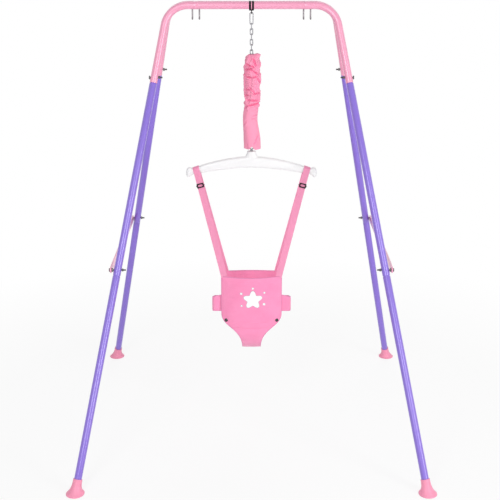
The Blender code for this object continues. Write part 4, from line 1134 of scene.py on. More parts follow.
class JUMPER_OT_hanger(bpy.types.Operator):
    """Moulds the black hanger: two bands, their neck and the pierced lug"""

    bl_idname = "jumper.hanger"
    bl_label = "Hanger"

    def execute(self, context):
        stand = Stand()
        inner = stand.tube + FIT
        width = (HANGER_WIDTH - HANGER_GROOVE) / 2
        bm = bmesh.new()
        for start in (-HANGER_WIDTH / 2, HANGER_GROOVE / 2):
            loop = bar_loop(stand, inner, start)
            absorb(bm, to_mesh(band(loop, X_AXIS * width, HANGER_WALL, HANGER_EASE)))
        centre = lug_centre(stand)
        top = stand.height - inner - HANGER_WALL
        hole = LUG_HOLE / 2
        eye = hole + LUG_EDGE
        loops = []
        for start, (rise, x, y) in ((top, NECK_TOP), (top, NECK_MIDDLE), (centre, (*NECK_FOOT, eye))):
            shape = Matrix.Translation((0, 0, start + rise)) @ Matrix.Diagonal((x, y, 1, 1))
            loops.append(circle_loop(bm, shape @ Matrix.Rotation(pi / 4, 4, "Z"), 2**0.5, 4))
        skin(bm, loops, loops[0] + loops[-1])
        rim = LUG_ROUNDING
        half = LUG_THICK / 2
        profile = [(hole, rim - half), (hole + rim, -half), (eye - rim, -half), (eye, rim - half)]
        profile += [(radius, -height) for radius, height in profile[::-1]]
        profile.append(profile[0])
        turn(bm, Matrix.Translation((0, 0, centre)) @ Matrix.Rotation(pi / 2, 4, "Y"), profile)
        settle("hanger_moulding", bm, "black_plastic", "front_frame", "hanger")
        return {"FINISHED"}


def link_ends(stand):
    """The heights of the quick link's wire at its top and bottom."""
    wire = bpy.context.scene.jumper_line.link_wire
    top = lug_centre(stand) - LUG_HOLE / 2 + GAP + wire / 2
    return top, top - (LINK_LENGTH - wire)


def chain_ends(stand):
    """The first link's top wire, the last link's bottom wire, and a link's height."""
    line = bpy.context.scene.jumper_line
    top = link_ends(stand)[1] + line.link_wire / 2 + GAP + line.chain_wire / 2
    height = line.chain_pitch + line.chain_wire + GAP
    return top, top - (CHAIN_LINKS - 1) * line.chain_pitch - height, height


def link_bows(top, bottom, across, bow, steps):
    """The upper and the lower half round of a link."""
    upper = arc(Vector((0, 0, top - bow)), across, Z_AXIS, bow, 0, 180, steps)
    return upper + arc(Vector((0, 0, bottom + bow)), across, Z_AXIS, bow, 180, 360, steps)


class JUMPER_OT_chain(bpy.types.Operator):
    """Bends the quick link, turns its gate and welds the chain's links"""

    bl_idname = "jumper.chain"
    bl_label = "Quick link and chain"

    def execute(self, context):
        stand = Stand()
        line = context.scene.jumper_line
        top, bottom = link_ends(stand)
        bow = (LINK_WIDTH - line.link_wire) / 2
        gate = (top + bottom) / 2 - GATE_LENGTH / 2
        path = [Vector((bow, 0, gate + GATE_LENGTH + 2 * GAP))]
        path += link_bows(top, bottom, X_AXIS, bow, 24) + [Vector((bow, 0, gate - 2 * GAP))]
        bm = wire_mesh(path, line.link_wire)
        settle("quick_link_bow", bm, "zinc", "quick_link", "quick_link")
        bm = turned(Matrix.Translation((bow, 0, gate)), self.sleeve(line.link_wire / 2))
        settle("quick_link_sleeve", bm, "zinc", "quick_link_gate", "quick_link_gate")
        top, _, height = chain_ends(stand)
        bow = (CHAIN_WIDTH - line.chain_wire) / 2
        for number in range(1, CHAIN_LINKS + 1):
            across = Y_AXIS if number % 2 else X_AXIS
            z = top - (number - 1) * line.chain_pitch
            bm = wire_mesh(link_bows(z, z - height, across, bow, 20), line.chain_wire, closed=True)
            weld = Matrix.Translation(across * bow + Z_AXIS * (z - height / 2))
            bead(bm, weld @ Matrix.Diagonal(WELD), line.chain_wire)
            name = f"chain_link_{number}"
            settle(f"{name}_welded", bm, "zinc", name, name)
        return {"FINISHED"}

    def sleeve(self, r):
        """The gate's knurled sleeve, as radii and heights."""
        profile = [(0, 0), (r * 0.55, 0), (r * 0.9, GATE_END / 2)]
        step = (GATE_LENGTH - 2 * GATE_END) / GATE_GROOVES
        for i in range(GATE_GROOVES):
            height = GATE_END + step * i
            profile += [(r * share, height + step * along) for share, along in GATE_KNURL]
        end = GATE_LENGTH - GATE_END / 2
        return profile + [(r * 0.9, end), (r * 0.55, GATE_LENGTH), (0, GATE_LENGTH)]


class JUMPER_OT_spring(bpy.types.Operator):
    """Winds the extension spring with a hook at each end"""

    bl_idname = "jumper.spring"
    bl_label = "Spring"

    def execute(self, context):
        line = context.scene.jumper_line
        r = line.spring_wire / 2
        coil = line.spring_diameter / 2 - r
        high = chain_ends(Stand())[1] + line.chain_wire / 2 + GAP + r
        low = line.eye_centre + EYE_DIAMETER / 2 - EYE_WIRE - GAP - r
        coil_top = high - 2 * SPRING_HOOK - SPRING_SPIRAL
        coil_bottom = low + 2 * SPRING_HOOK + SPRING_SPIRAL
        upper = self.hook(Vector((0, 0, high - SPRING_HOOK)), 1, coil, coil_top)
        lower = self.hook(Vector((0, 0, low + SPRING_HOOK)), -1, coil, coil_bottom)
        count = SPRING_CURLS * SPRING_STEPS
        middle = []
        for i in range(1, count):
            angle = 1.5 * pi + 2 * pi * i / SPRING_STEPS
            z = coil_top + (coil_bottom - coil_top) * i / count
            middle.append(Vector((coil * cos(angle), coil * sin(angle), z)))
        bm = wire_mesh(upper + middle + lower[::-1], line.spring_wire, sides=THIN)
        spring = settle("spring_wound", bm, "zinc", None, "spring")
        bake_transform(spring)
        return {"FINISHED"}

    def hook(self, centre, up, coil, coil_end):
        """One hook and the half turn that carries the wire out to the coil."""
        points = arc(centre, Y_AXIS, up * Z_AXIS, SPRING_HOOK, SPRING_OPEN, 270, SPRING_STEPS)
        start = points[-1].z
        for share in shares(14)[1:]:
            angle = pi / 2 + up * pi * share
            z = start + (coil_end - start) * share**SPREAD_CURVE
            points.append(Vector((coil * share * cos(angle), coil * share * sin(angle), z)))
        return points


def crease_lines(line):
    """The table's creases in metres on the unrolled sleeve, repeated round it."""
    height = line.sleeve_top - line.sleeve_bottom
    for a, s0, b, s1, depth, width in CREASES:
        for shift, late in CREASE_TURNS:
            run_x = radians(b - a) * line.sleeve_radius
            run_z = (s1 - s0) * height
            reach = (min(s0, s1) + late - CREASE_MARGIN, max(s0, s1) + late + CREASE_MARGIN)
            start = (radians(a + shift) * line.sleeve_radius, (s0 + late) * height)
            yield reach, start, run_x, run_z, depth / 1000, width / 1000


class Gathers:
    """The relief of the gathered sleeve."""

    def __init__(self, line):
        self.line = line
        self.creases = list(crease_lines(line))
        self.found = {}

    def crease(self, share, angle):
        """How far the creases pull the cloth in, and how far it stands up beside them."""
        deepest = 0.0
        ridge = 0.0
        x = angle * self.line.sleeve_radius
        z = share * (self.line.sleeve_top - self.line.sleeve_bottom)
        for reach, start, run_x, run_z, depth, width in self.creases:
            if not reach[0] < share < reach[1]:
                continue
            dx, dz = x - start[0], z - start[1]
            along = clamp((dx * run_x + dz * run_z) / (run_x * run_x + run_z * run_z))
            away = ((dx - run_x * along) ** 2 + (dz - run_z * along) ** 2) ** 0.5
            if away > 5 * width:
                continue
            fade = min(1.0, 4 * along + 0.25) * min(1.0, 4 * (1 - along) + 0.25)
            deepest = max(deepest, depth * fade * exp(-((away / width) ** 2)))
            ridge += RIDGE * depth * fade * exp(-(((away - 2.1 * width) / width) ** 2))
        return deepest, ridge

    def relief(self, share, angle):
        """The cloth's offset from its middle radius, and how open it lies, 0 in a crease; the openness
        only sets the painted shade in the folds.
        """
        if (share, angle) not in self.found:
            self.found[share, angle] = self.work_out(share, angle)
        return self.found[share, angle]

    def work_out(self, share, angle):
        gathered = 1 - clamp((share - GATHERS_END) / GATHERS_FADE)
        ring = Vector((cos(angle), sin(angle), 0.0))
        leaning = share * 8.5 + 0.22 * sin(angle + 0.7)
        wide = noise.noise(ring * 0.80 + Vector((4.0, 2.0, leaning)))
        small = noise.noise(ring * 1.1 + Vector((0.5, 7.0, share * 17 + 0.5 * sin(2 * angle))))
        pinch = max(0.0, 1 - abs(wide) * 4.4) ** 1.2
        pucker = max(0.0, 1 - abs(small) * 4.0) ** 1.2
        soft = noise.noise(ring * 1.3 + Vector((9.0, 1.0, share * 5.0)))
        deep, ridge = self.crease(share, angle)
        deep *= 1.0 + 0.35 * gathered
        tight = PINCH * pinch + PUCKER * pucker - GATHERED_IN
        offset = tight * gathered + SOFT * soft * (1 - gathered) - deep + ridge
        # Painted shade: the gathered part lies a little darker, lighter on its pinched ridges, and the
        # creases go dark.
        opened = 1 - gathered * (SHUT - SHUT * max(pinch, 0.45 * pucker))
        return offset, max(0.0, opened - min(1.0, deep / CLOSED))

    # How open the cloth lies at a grid point, which becomes the painted shade in its folds.
    def opened(self, u, v):
        return self.relief(1 - v, 2 * pi * u)[1]

    def place(self, u, v):
        """A point of the sleeve: its bound mouth with an ear, its folds and its notched hem."""
        line = self.line
        share = 1 - v
        angle = 2 * pi * u
        bore = line.spring_diameter / 2 + BORE_ROOM
        ear = max(0.0, cos(angle + EAR_ANGLE)) ** 8
        crown = min(1.0, share / MOUTH_SHARE)
        mouth = MOUTH + (1 - MOUTH) * sin(crown * pi / 2) ** 0.8
        mouth += (EAR_MOUTH - mouth) * ear * min(1.0, share / 0.02 + 0.4)
        body = line.sleeve_radius + 0.0008 * sin(2 * pi * share * 1.5)
        flare = FLARE * max(0.0, (share - 0.86) / 0.14) * (1 + 0.5 * cos(4 * angle))
        radius = (body + self.relief(share, angle)[0] + flare) * mouth
        if share > 0.1:
            radius = max(radius, bore + 0.0006)
        room = line.sleeve_radius - bore
        bow = clamp(BOW - BOW_BACK * exp(-(((share - 0.70) / 0.15) ** 2)), -room, room)
        lift = EAR_LIFT * ear * max(0.0, 1 - share / 0.06)
        notch = max(0.0, 1 - abs(angle - 1.5 * pi) / 0.42) ** 1.2
        notch += 0.5 * max(0.0, 1 - abs(angle - 0.5 * pi) / 0.35) ** 1.2
        hem = HEM_NOTCH * notch * max(0.0, (share - 0.90) / 0.10) ** 1.5
        hem += HEM_WAVE * sin(angle * 2 + 0.6) * max(0.0, (share - 0.97) / 0.03)
        z = line.sleeve_bottom + (line.sleeve_top - line.sleeve_bottom) * v + lift + hem
        return Vector((radius * cos(angle) + bow, radius * sin(angle), z))


class JUMPER_OT_sleeve(bpy.types.Operator):
    """Gathers the cloth sleeve over the spring"""

    bl_idname = "jumper.sleeve"
    bl_label = "Spring sleeve"

    def execute(self, context):
        line = context.scene.jumper_line
        top, bottom = line.sleeve_top, line.sleeve_bottom
        height = top - bottom
        around = 2 * pi * line.sleeve_radius
        cloth = Gathers(line)
        # The grid carries how open the cloth lies, for the painted shade in its folds.
        bm = cloth_grid(*SLEEVE_GRID, cloth.place, around, height * 1.6, cloth.opened)
        bmesh.ops.remove_doubles(bm, verts=bm.verts[:], dist=0.00005)
        bmesh.ops.recalc_face_normals(bm, faces=bm.faces[:])
        bmesh.ops.solidify(bm, geom=bm.faces[:], thickness=SLEEVE_CLOTH)
        mesh = to_mesh(bm, False)
        sleeve = settle("gathered_sleeve", mesh, "sleeve_cloth", None, "spring_sleeve", sharp=180)
        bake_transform(sleeve)
        return {"FINISHED"}


def arch(line, x):
    """The arched bar's middle height and its height from edge to edge, at a place along it."""
    share = (abs(x) / line.bar_reach) ** ARCH_CURVE
    top = line.bar_top - line.bar_drop * share
    low = line.bar_top - line.bar_height - line.bar_under * share
    return (top + low) / 2, top - low


def combine(mesh, other, operation):
    """Joins another mesh to one, or cuts it out of it, and gives back the outcome."""
    objects = [bpy.data.objects.new("solid", held) for held in (mesh, other)]
    for obj in objects:
        bpy.context.scene.collection.objects.link(obj)
    step = objects[0].modifiers.new("combine", "BOOLEAN")
    step.operation = operation
    step.solver = "EXACT"
    step.object = objects[1]
    whole = bpy.context.evaluated_depsgraph_get()
    made = bpy.data.meshes.new_from_object(objects[0].evaluated_get(whole))
    for obj in objects:
        bpy.data.objects.remove(obj)
    for held in (mesh, other):
        bpy.data.meshes.remove(held)
    return made


def rod(radius, start, stop):
    """A round rod along Z, to cut a hole with."""
    bm = bmesh.new()
    at = Matrix.Translation((0, 0, (start + stop) / 2))
    bmesh.ops.create_cone(
        bm, cap_ends=True, segments=ROUND, radius1=radius, radius2=radius, depth=stop - start, matrix=at
    )
    return to_mesh(bm)


class JUMPER_OT_spreader(bpy.types.Operator):
    """Moulds the arched spreader bar and sets the eyebolt and its nut in the hub"""

    bl_idname = "jumper.spreader"
    bl_label = "Spreader bar and eyebolt"

    def execute(self, context):
        line = context.scene.jumper_line
        self.bar(line, context.scene.jumper_seat)
        bow = (EYE_DIAMETER - EYE_WIRE) / 2
        turns = [2 * pi * i / 48 for i in range(48)]
        ring = [Vector((bow * cos(a), 0, line.eye_centre + bow * sin(a))) for a in turns]
        bm = wire_mesh(ring, EYE_WIRE, closed=True)
        collar = line.hub_top + GAP
        nut_top = line.bar_top - line.bar_height + NUT_POCKET - GAP
        tip = nut_top - EYE_TAIL
        profile = [(0, tip), (EYE_SHANK * 0.8, tip), (EYE_SHANK, tip + 0.0006), (EYE_SHANK, collar)]
        profile += [(radius, collar + rise) for radius, rise in EYE_COLLAR]
        profile += [(EYE_SHANK, collar + EYE_COLLAR[-1][1])]
        profile += [(radius, line.eye_centre - bow) for radius in (EYE_SHANK, 0)]
        turn(bm, Matrix.Identity(4), profile)
        settle("eyebolt_forged", bm, "zinc", "eyebolt", "eyebolt")
        bore = EYE_SHANK + FIT
        flange = [(bore, 0), *FLANGE, (bore, FLANGE[-1][1]), (bore, 0)]
        bm = turned(Matrix.Translation((0, 0, nut_top)), flange)
        hex_block(bm, Matrix.Translation((0, 0, nut_top - EYE_NUT_DROP)), *EYE_NUT)
        settle("eyebolt_nut_turned", bm, "zinc", "eyebolt", "eyebolt_nut")
        return {"FINISHED"}

    def bar(self, line, seat):
        """The bar's sections along its arch, joined to the hub, with the nut's pocket cut out."""
        fine = seat.strap_bar_x - seat.strap_width
        half = [fine * i / 56 for i in range(56)]
        half += [fine + (line.bar_reach - fine) * (i / 64) ** 0.86 for i in range(65)]
        bm = bmesh.new()
        loops = [self.section(bm, x, line, seat) for x in [-x for x in half[:0:-1]] + half]
        skin(bm, loops, loops[0] + loops[-1])
        low = line.bar_top - HUB_SINK
        rings = []
        for t in shares(14):
            reach = HUB_REACH + HUB_SPREAD * (1 - t) ** HUB_CURVE
            rounding = HUB_ROUNDING * max(0.0, (t - 0.92) / 0.08)
            deep = line.bar_depth / 2 - 0.0006 * (1 + t) - rounding
            at = Matrix.Translation((0, 0, low + (line.hub_top - low) * t))
            rings.append((at @ Matrix.Diagonal((reach - rounding, deep, 1, 1)), 1.0))
        mesh = combine(to_mesh(bm), to_mesh(loft(rings, 48)), "UNION")
        floor = line.bar_top - line.bar_height
        for radius, stop in ((HUB_BORE, line.hub_top + 0.01), (POCKET_RADIUS, floor + NUT_POCKET)):
            mesh = combine(mesh, rod(radius, floor - 0.01, stop), "DIFFERENCE")
        settle("spreader_moulding", mesh, "white_plastic", "seat", "spreader_bar", sharp=50)

    def section(self, bm, x, line, seat):
        """A rounded section of the bar: sunk a little under the strap, swollen at the ends."""
        centre, height = arch(line, x)
        depth = line.bar_depth
        inner = abs(x) - (seat.strap_bar_x - seat.strap_width / 2 - 0.0040)
        outer = seat.strap_bar_x + seat.strap_width / 2 + 0.0030 - abs(x)
        cut = STRAP_GROOVE * clamp(min(inner, outer) / 0.0015)
        left = line.bar_reach - abs(x)
        if left < BULB_START:
            swell = min(1.0, (BULB_START - left) / (BULB_START - BULB_MIDDLE))
            height += (line.bulb_height - height) * swell * swell * (3 - 2 * swell)
            rounding = max(0.0, 1 - left / BULB_MIDDLE)
            scale = (1 - BULB_TIP * rounding**2) ** 0.5
            height *= scale
            depth *= scale
        made = bmesh.ops.create_circle(
            bm, segments=40, radius=1.0, matrix=Matrix.Rotation(pi / 2, 4, "Y")
        )
        for vert in made["verts"]:
            y = abs(vert.co.y) ** SQUARENESS * (depth / 2 - cut) * (1 if vert.co.y > 0 else -1)
            z = abs(vert.co.z) ** SQUARENESS * (height / 2 - cut) * (1 if vert.co.z > 0 else -1)
            vert.co = (x, y, centre + z)
        return edges_of(made["verts"])


def panel_y(seat, x):
    """How far a panel lies before the middle, at a place across it."""
    return seat.edge_y + seat.bulge * (1 - (2 * x / seat.width) ** 2)


def strap_line():
    """The right strap's middle line, from the front panel over the bar to the back panel."""
    line = bpy.context.scene.jumper_line
    seat = bpy.context.scene.jumper_seat
    x = seat.strap_bar_x
    share = x / line.bar_reach
    slope = atan(line.bar_drop * ARCH_CURVE / line.bar_reach * share ** (ARCH_CURVE - 1))
    up = Vector((sin(slope), 0, cos(slope)))
    middle, height = arch(line, x)
    corner = BAR_CORNER - STRAP_GROOVE
    wrap = corner + STRAP_CLEAR + seat.strap_thick / 2
    centre = Vector((x, 0, middle)) + up * ((height / 2 - STRAP_GROOVE) * cos(slope) - corner)
    centre -= Y_AXIS * (line.bar_depth / 2 - STRAP_GROOVE - corner)
    over = arc(centre, -Y_AXIS, up, wrap, 16, 90, 16)
    back = [Vector((p.x, -p.y, p.z)) for p in over[::-1]]
    end_x = seat.width / 2 - seat.strap_width / 2 - STRAP_EDGE
    front_end = Vector((end_x, -panel_y(seat, end_x), seat.top - STRAP_TUCK))
    back_end = Vector((end_x, panel_y(seat, end_x), seat.back_top - STRAP_TUCK))
    front_run = [front_end.lerp(over[0], i / STRAP_STEPS) for i in range(STRAP_STEPS)]
    back_run = [back[-1].lerp(back_end, i / STRAP_STEPS) for i in range(1, STRAP_STEPS + 1)]
    return front_run + over + back + back_run, Vector((cos(slope), 0, -sin(slope)))


class JUMPER_OT_straps(bpy.types.Operator):
    """Lays the webbing straps over the spreader bar and sews their folded ends"""

    bl_idname = "jumper.straps"
    bl_label = "Straps"

    def execute(self, context):
        seat = context.scene.jumper_seat
        path, slant = strap_line()
        whole = sum((second - first).length for first, second in zip(path, path[1:]))
        count = len(path) - 1
        for side_name, side in SIDES:

            def place(u, v, lift=0.0):
                i = min(count - 1, int(v * count))
                point = path[i].lerp(path[i + 1], v * count - i)
                tangent = (path[min(count, i + 2)] - path[max(0, i - 1)]).normalized()
                level = X_AXIS.lerp(slant, min(1.0, min(v, 1 - v) / STRAP_TURN))
                wide = (level - tangent * level.dot(tangent)).normalized()
                point = point + wide * (u - 0.5) * seat.strap_width + wide.cross(tangent) * lift
                return Vector((side * point.x, point.y, point.z))

            def half(u, v):
                return seat.strap_thick / 2 * (1 - STRAP_THIN_EDGE * (2 * u - 1) ** 8)

            mesh = two_faced(12, count, place, half, seat.strap_width, whole)
            name = f"{side_name}_strap"
            settle(f"{name}_webbing", mesh, "webbing", "seat", name)
            out = -Y_AXIS * seat.strap_thick * STITCH_STAND
            rows = []
            for offset in STRAP_SEAMS:
                v = self.share_below_bar(path, offset)
                rows.append([place(u, v) + out for u in STRAP_SEAM_ENDS])
            stitches(f"{name}_stitches", rows, 0.0026, 0.0019)
        return {"FINISHED"}

    def share_below_bar(self, path, distance):
        """Where along the path, as a share of its points, a distance below the bar's top lies."""
        top = path[STRAP_STEPS]
        below = (i for i in range(STRAP_STEPS, 0, -1) if (path[i] - top).length >= distance)
        return next(below, 0) / (len(path) - 1)


class JUMPER_OT_adjusters(bpy.types.Operator):
    """Bends the two slides on the straps' front runs"""

    bl_idname = "jumper.adjusters"
    bl_label = "Adjusters"

    def execute(self, context):
        seat = context.scene.jumper_seat
        path, slant = strap_line()
        top = path[STRAP_STEPS]
        down = (path[0] - top).normalized()
        wide = (slant - down * slant.dot(down)).normalized()
        out = down.cross(wide)
        out = -out if out.y > 0 else out
        centre = top + down * SLIDE_DROP
        front = seat.strap_thick / 2 + GAP
        back = -front - SLIDE_BAR / 2
        reach = seat.strap_width / 2 + SLIDE_HOLD
        knee = SLIDE_KNEE
        bar = [(-reach, front + 0.001), (-reach, back + knee), (-reach + knee, back)]
        bar += [(-w, t) for w, t in bar[::-1]]
        for side_name, side in SIDES:

            def place(w, d, t):
                point = centre + wide * w + down * d + out * t
                return Vector((side * point.x, point.y, point.z))

            inner = []
            for i, (sx, sy) in enumerate(((1, 1), (-1, 1), (-1, -1), (1, -1))):
                x, y = (size - SLIDE_CORNER for size in SLIDE_HALF)
                middle = Vector((sx * x, sy * y, 0))
                radius = SLIDE_CORNER - SLIDE_RIM
                bend = arc(middle, X_AXIS, Y_AXIS, radius, 90 * i, 90 * (i + 1), 8)
                inner += [place(p.x, p.y, front) for p in bend]
            bm = band(inner, place(0, 0, SLIDE_DEEP) - place(0, 0, 0), SLIDE_RIM, SLIDE_EASE)
            absorb(bm, to_mesh(wire_mesh([place(w, 0, t) for w, t in bar], SLIDE_BAR)))
            name = f"{side_name}_adjuster"
            settle(f"{name}_slide", bm, "black_plastic", name, name)
        return {"FINISHED"}


def half_width(seat, z):
    """Half a panel's width, which the leg openings cut back near the seam."""
    if z >= seat.leg_cut:
        return seat.width / 2
    share = (seat.leg_cut - z) / (seat.leg_cut - seat.seam)
    return seat.width / 2 + (seat.seam_width - seat.width) / 2 * share**LEG_CURVE


def two_faced(columns, rows, surface, half, width, length):
    """A closed pad: a cloth grid on each side of a surface, joined round its rim."""
    bm = bmesh.new()
    for face in (-1, 1):
        grid = cloth_grid(
            columns, rows, lambda u, v: surface(u, v, face * half(u, v)), width, length
        )
        absorb(bm, to_mesh(grid, False))
    bmesh.ops.bridge_loops(bm, edges=[edge for edge in bm.edges if edge.is_boundary])
    return to_mesh(bm)


def stuffed(mesh, sewn):
    """Lets the padding push a pad's cloth out where it isn't sewn down, and keeps the outcome.

    sewn(point) gives 1 where the cloth is held and 0 where it is free.
    """
    scene = bpy.context.scene
    rest = [vert.co.copy() for vert in mesh.vertices]
    pad = bpy.data.objects.new("pad", mesh)
    scene.collection.objects.link(pad)
    held = pad.vertex_groups.new(name="held")
    for i, point in enumerate(rest):
        held.add([i], sewn(point), "REPLACE")
    cloth = pad.modifiers.new("filling", "CLOTH")
    settings = cloth.settings
    settings.quality = 6
    settings.mass = 0.15
    settings.tension_stiffness = 12
    settings.compression_stiffness = 12
    settings.shear_stiffness = 6
    settings.bending_stiffness = 0.4
    settings.shrink_min = -0.006
    settings.vertex_group_mass = "held"
    settings.use_pressure = True
    settings.uniform_pressure_force = PUSH
    settings.effector_weights.gravity = 0
    cloth.collision_settings.use_self_collision = False
    scene.frame_start = 1
    scene.frame_end = FILLING_STEPS
    for number in range(1, FILLING_STEPS + 1):
        scene.frame_set(number)
    whole = bpy.context.evaluated_depsgraph_get()
    swollen = bpy.data.meshes.new_from_object(pad.evaluated_get(whole))
    bpy.data.objects.remove(pad)
    for vert, start in zip(swollen.vertices, rest):
        moved = vert.co - start
        if moved.length > 0:
            vert.co = start + moved * (MOST_PUSHED / (MOST_PUSHED + moved.length))
    scene.frame_set(1)
    return swollen


class JUMPER_OT_seat(bpy.types.Operator):
    """Sews the padded front and back panels, the crotch panel and their binding"""

    bl_idname = "jumper.seat"
    bl_label = "Seat"

    def execute(self, context):
        seat = context.scene.jumper_seat
        self.panel(seat, "seat_front", -1, seat.top)
        self.panel(seat, "seat_back", 1, seat.back_top)
        self.crotch(seat)
        return {"FINISHED"}

    def panel(self, seat, name, end, top):
        drop = top - seat.seam
        rim = BINDING / 2

        def surface(u, v, lift=0.0):
            z = seat.seam + (drop - rim) * v
            across = 2 * u - 1
            x = (half_width(seat, z) - rim) * across
            dip = PANEL_DIP * (1 - across**2) * max(0.0, v) ** 8
            return Vector((x, end * (panel_y(seat, x) + lift), z - dip))

        def half(u, v):
            edge = min(min(u, 1 - u) * seat.width, (1 - v) * drop)
            soft = 1 - max(0.0, 1 - edge / PANEL_EDGE) ** EDGE_CURVE
            low = 1 - 0.55 * max(0.0, 1 - v * drop / SEWN_BAND) ** 2
            slack = noise.noise(Vector((u * 3.0, v * 3.0, end * 2.0))) * PANEL_SLACK * soft
            return seat.thick / 2 * (PANEL_PAD[0] + PANEL_PAD[1] * soft + slack) * low

        def sewn(point):
            edge = min(half_width(seat, point.z) - abs(point.x), top - point.z, point.z - seat.seam)
            return clamp(1.25 - edge / SEWN_BAND)

        mesh = stuffed(two_faced(76, 72, surface, half, seat.width, drop), sewn)
        made = settle(f"{name}_pad", mesh, "seat_cloth", "seat", name, sharp=70)
        turns = shares(70)
        border = [surface(0.0, t) for t in turns] + [surface(t, 1.0) for t in turns[1:]]
        border += [surface(1.0, 1 - t) for t in turns[1:]]
        bm = wire_mesh(border, BINDING, sides=THIN)
        settle(f"{name}_binding", bm, "binding_cloth", "seat", sharp=80)
        inset, span = SEAM_INSET, 1 - 2 * SEAM_INSET
        seams = (
            lambda t: (inset, 1 - inset - span * t),
            lambda t: (1 - inset, 1 - inset - span * t),
            lambda t: (inset + span * t, 1 - inset),
            lambda t: (0.03 + 0.94 * t, 0.022),
        )
        rows = []
        for face in (1, -1):
            for seam in seams:
                spots = [seam(t) for t in turns]
                rows.append([surface(u, v, face * half(u, v)) for u, v in spots])
        stitches(f"{name}_stitches", rows)

    def crotch(self, seat):
        seam = seat.seam - GAP
        deep = seam - seat.bottom - seat.thick / 2

        def surface(u, v, lift=0.0):
            turned = pi * v
            hang = sin(turned) if 0 < v < 1 else 0.0
            narrow = 1 - (1 - hang) ** CROTCH_CURVE
            width = seat.seam_width + (seat.crotch_width - seat.seam_width) * narrow - BINDING
            x = width / 2 * (2 * u - 1)
            normal = Vector((0, -cos(turned), -sin(turned)))
            middle = Vector((x, -panel_y(seat, x) * cos(turned), seam - deep * sin(turned)))
            return middle + normal * lift

        def half(u, v):
            soft = 1 - max(0.0, 1 - min(u, 1 - u) / CROTCH_EDGE) ** 2
            return seat.thick / 2 * (CROTCH_PAD[0] + CROTCH_PAD[1] * soft)

        mesh = two_faced(40, 120, surface, half, 0.10, 0.30)
        made = settle("seat_crotch_pad", mesh, "seat_cloth", "seat", "seat_crotch", sharp=70)
        turns = shares(120)
        rows = []
        for side_name, u in (("left", 0.0), ("right", 1.0)):
            bm = wire_mesh([surface(u, t) for t in turns], BINDING, sides=THIN)
            settle(f"seat_crotch_{side_name}_binding", bm, "binding_cloth", "seat", sharp=80)
            inner = abs(u - 0.07)
            for face in (1, -1):
                rows.append([surface(inner, t, face * half(inner, t)) for t in turns[2:-2]])
        stitches("seat_crotch_stitches", rows)


class JUMPER_OT_wings(bpy.types.Operator):
    """Sews the waist wings that close the seat's sides"""

    bl_idname = "jumper.wings"
    bl_label = "Waist wings"

    def execute(self, context):
        seat = context.scene.jumper_seat
        path = self.plan(seat)
        count = len(path) - 1
        tangents = []
        for i in range(count + 1):
            tangents.append((path[min(count, i + 1)] - path[max(0, i - 1)]).normalized())
        for side_name, side in SIDES:

            def place(u, v, lift=0.0):
                i = min(count - 1, int(v * count))
                share = v * count - i
                point = path[i].lerp(path[i + 1], share)
                way = tangents[i].lerp(tangents[i + 1], share)
                point = point + Vector((way.y, -way.x, 0)).normalized() * lift
                low, high = self.edges(seat, point)
                low, high = low + WING_BINDING / 2, high - WING_BINDING / 2
                return Vector((side * point.x, point.y, low + (high - low) * u))

            def half(u, v):
                soft = 1 - max(0.0, 1 - min(u, 1 - u) * seat.wing_height / WING_EDGE) ** 2
                return WING_THICK / 2 * (WING_PAD[0] + WING_PAD[1] * soft)

            name = f"{side_name}_waist_wing"
            mesh = two_faced(20, count * 2, place, half, seat.wing_height, 0.23)
            wing = settle(f"{name}_pad", mesh, "seat_cloth", "seat", name, sharp=50)
            bm = bmesh.new()
            for u in (0.0, 1.0):
                edge = [place(u, v) for v in shares(120)]
                absorb(bm, to_mesh(wire_mesh(edge, WING_BINDING, sides=THIN)))
            settle(f"{name}_binding", bm, "binding_cloth", "seat", sharp=80)
            rows = []
            for u in (0.13, 0.87):
                for lift in (WING_THICK / 2, -WING_THICK / 2):
                    rows.append([place(u, 0.09 + 0.82 * t, lift) for t in shares(90)])
            stitches(f"{name}_stitches", rows)
        return {"FINISHED"}

    def plan(self, seat):
        """The right wing's middle line in plan, from the front panel round to the back one."""
        half_seat = seat.width / 2
        inset = seat.thick / 2 + GAP + WING_THICK / 2
        tuck = half_seat - WING_TUCK
        reach = seat.wing_reach - WING_THICK / 2
        side_y = panel_y(seat, half_seat) - inset + WING_STEP
        turn_y = side_y - WING_CORNER
        straight = Vector((half_seat - WING_STEP, -side_y, 0))
        first = Vector((tuck, -panel_y(seat, tuck) + inset, 0))
        half = [first.lerp(straight, i / 5) for i in range(5)]
        corner = Vector((reach - WING_CORNER, -turn_y, 0))
        bend = arc(corner, -Y_AXIS, X_AXIS, WING_CORNER, 0, 90, 8)
        half += [straight.lerp(bend[0], i / 6) for i in range(6)] + bend
        half += [Vector((reach, -turn_y * (1 - i / 14), 0)) for i in range(1, 14)]
        return half + [Vector((reach, 0, 0))] + [Vector((p.x, -p.y, 0)) for p in half[::-1]]

    def edges(self, seat, point):
        """The wing's lower and upper edge: it falls and narrows towards the back."""
        side_y = panel_y(seat, seat.width / 2)
        back = clamp((point.y + side_y) / (2 * side_y))
        out = max(0.0, (point.x - seat.width / 2) / (seat.wing_reach - seat.width / 2))
        taper = WING_TAPER * out * (1 - back)
        high = seat.wing_top - seat.wing_fall * back - taper
        height = seat.wing_height + (seat.wing_back - seat.wing_height) * back
        return high - height + taper, high


class JUMPER_OT_snaps(bpy.types.Operator):
    """Presses the two snaps into the front panel"""

    bl_idname = "jumper.snaps"
    bl_label = "Snaps"

    def execute(self, context):
        seat = context.scene.jumper_seat
        cap = [(SNAP_RADIUS * share, height) for share, height in SNAP_CAP]
        slope = 2 * seat.bulge * SNAP_X / (seat.width / 2) ** 2
        for side_name, side in SIDES:
            out = Vector((side * slope, -1, 0)).normalized()
            at = Vector((side * SNAP_X, -panel_y(seat, SNAP_X), SNAP_Z))
            bm = turned(facing(at + out * (seat.thick / 2 * 0.80), out), cap)
            name = f"{side_name}_snap"
            settle(f"{name}_cap", bm, "snap_steel", "seat", name, sharp=30)
        return {"FINISHED"}


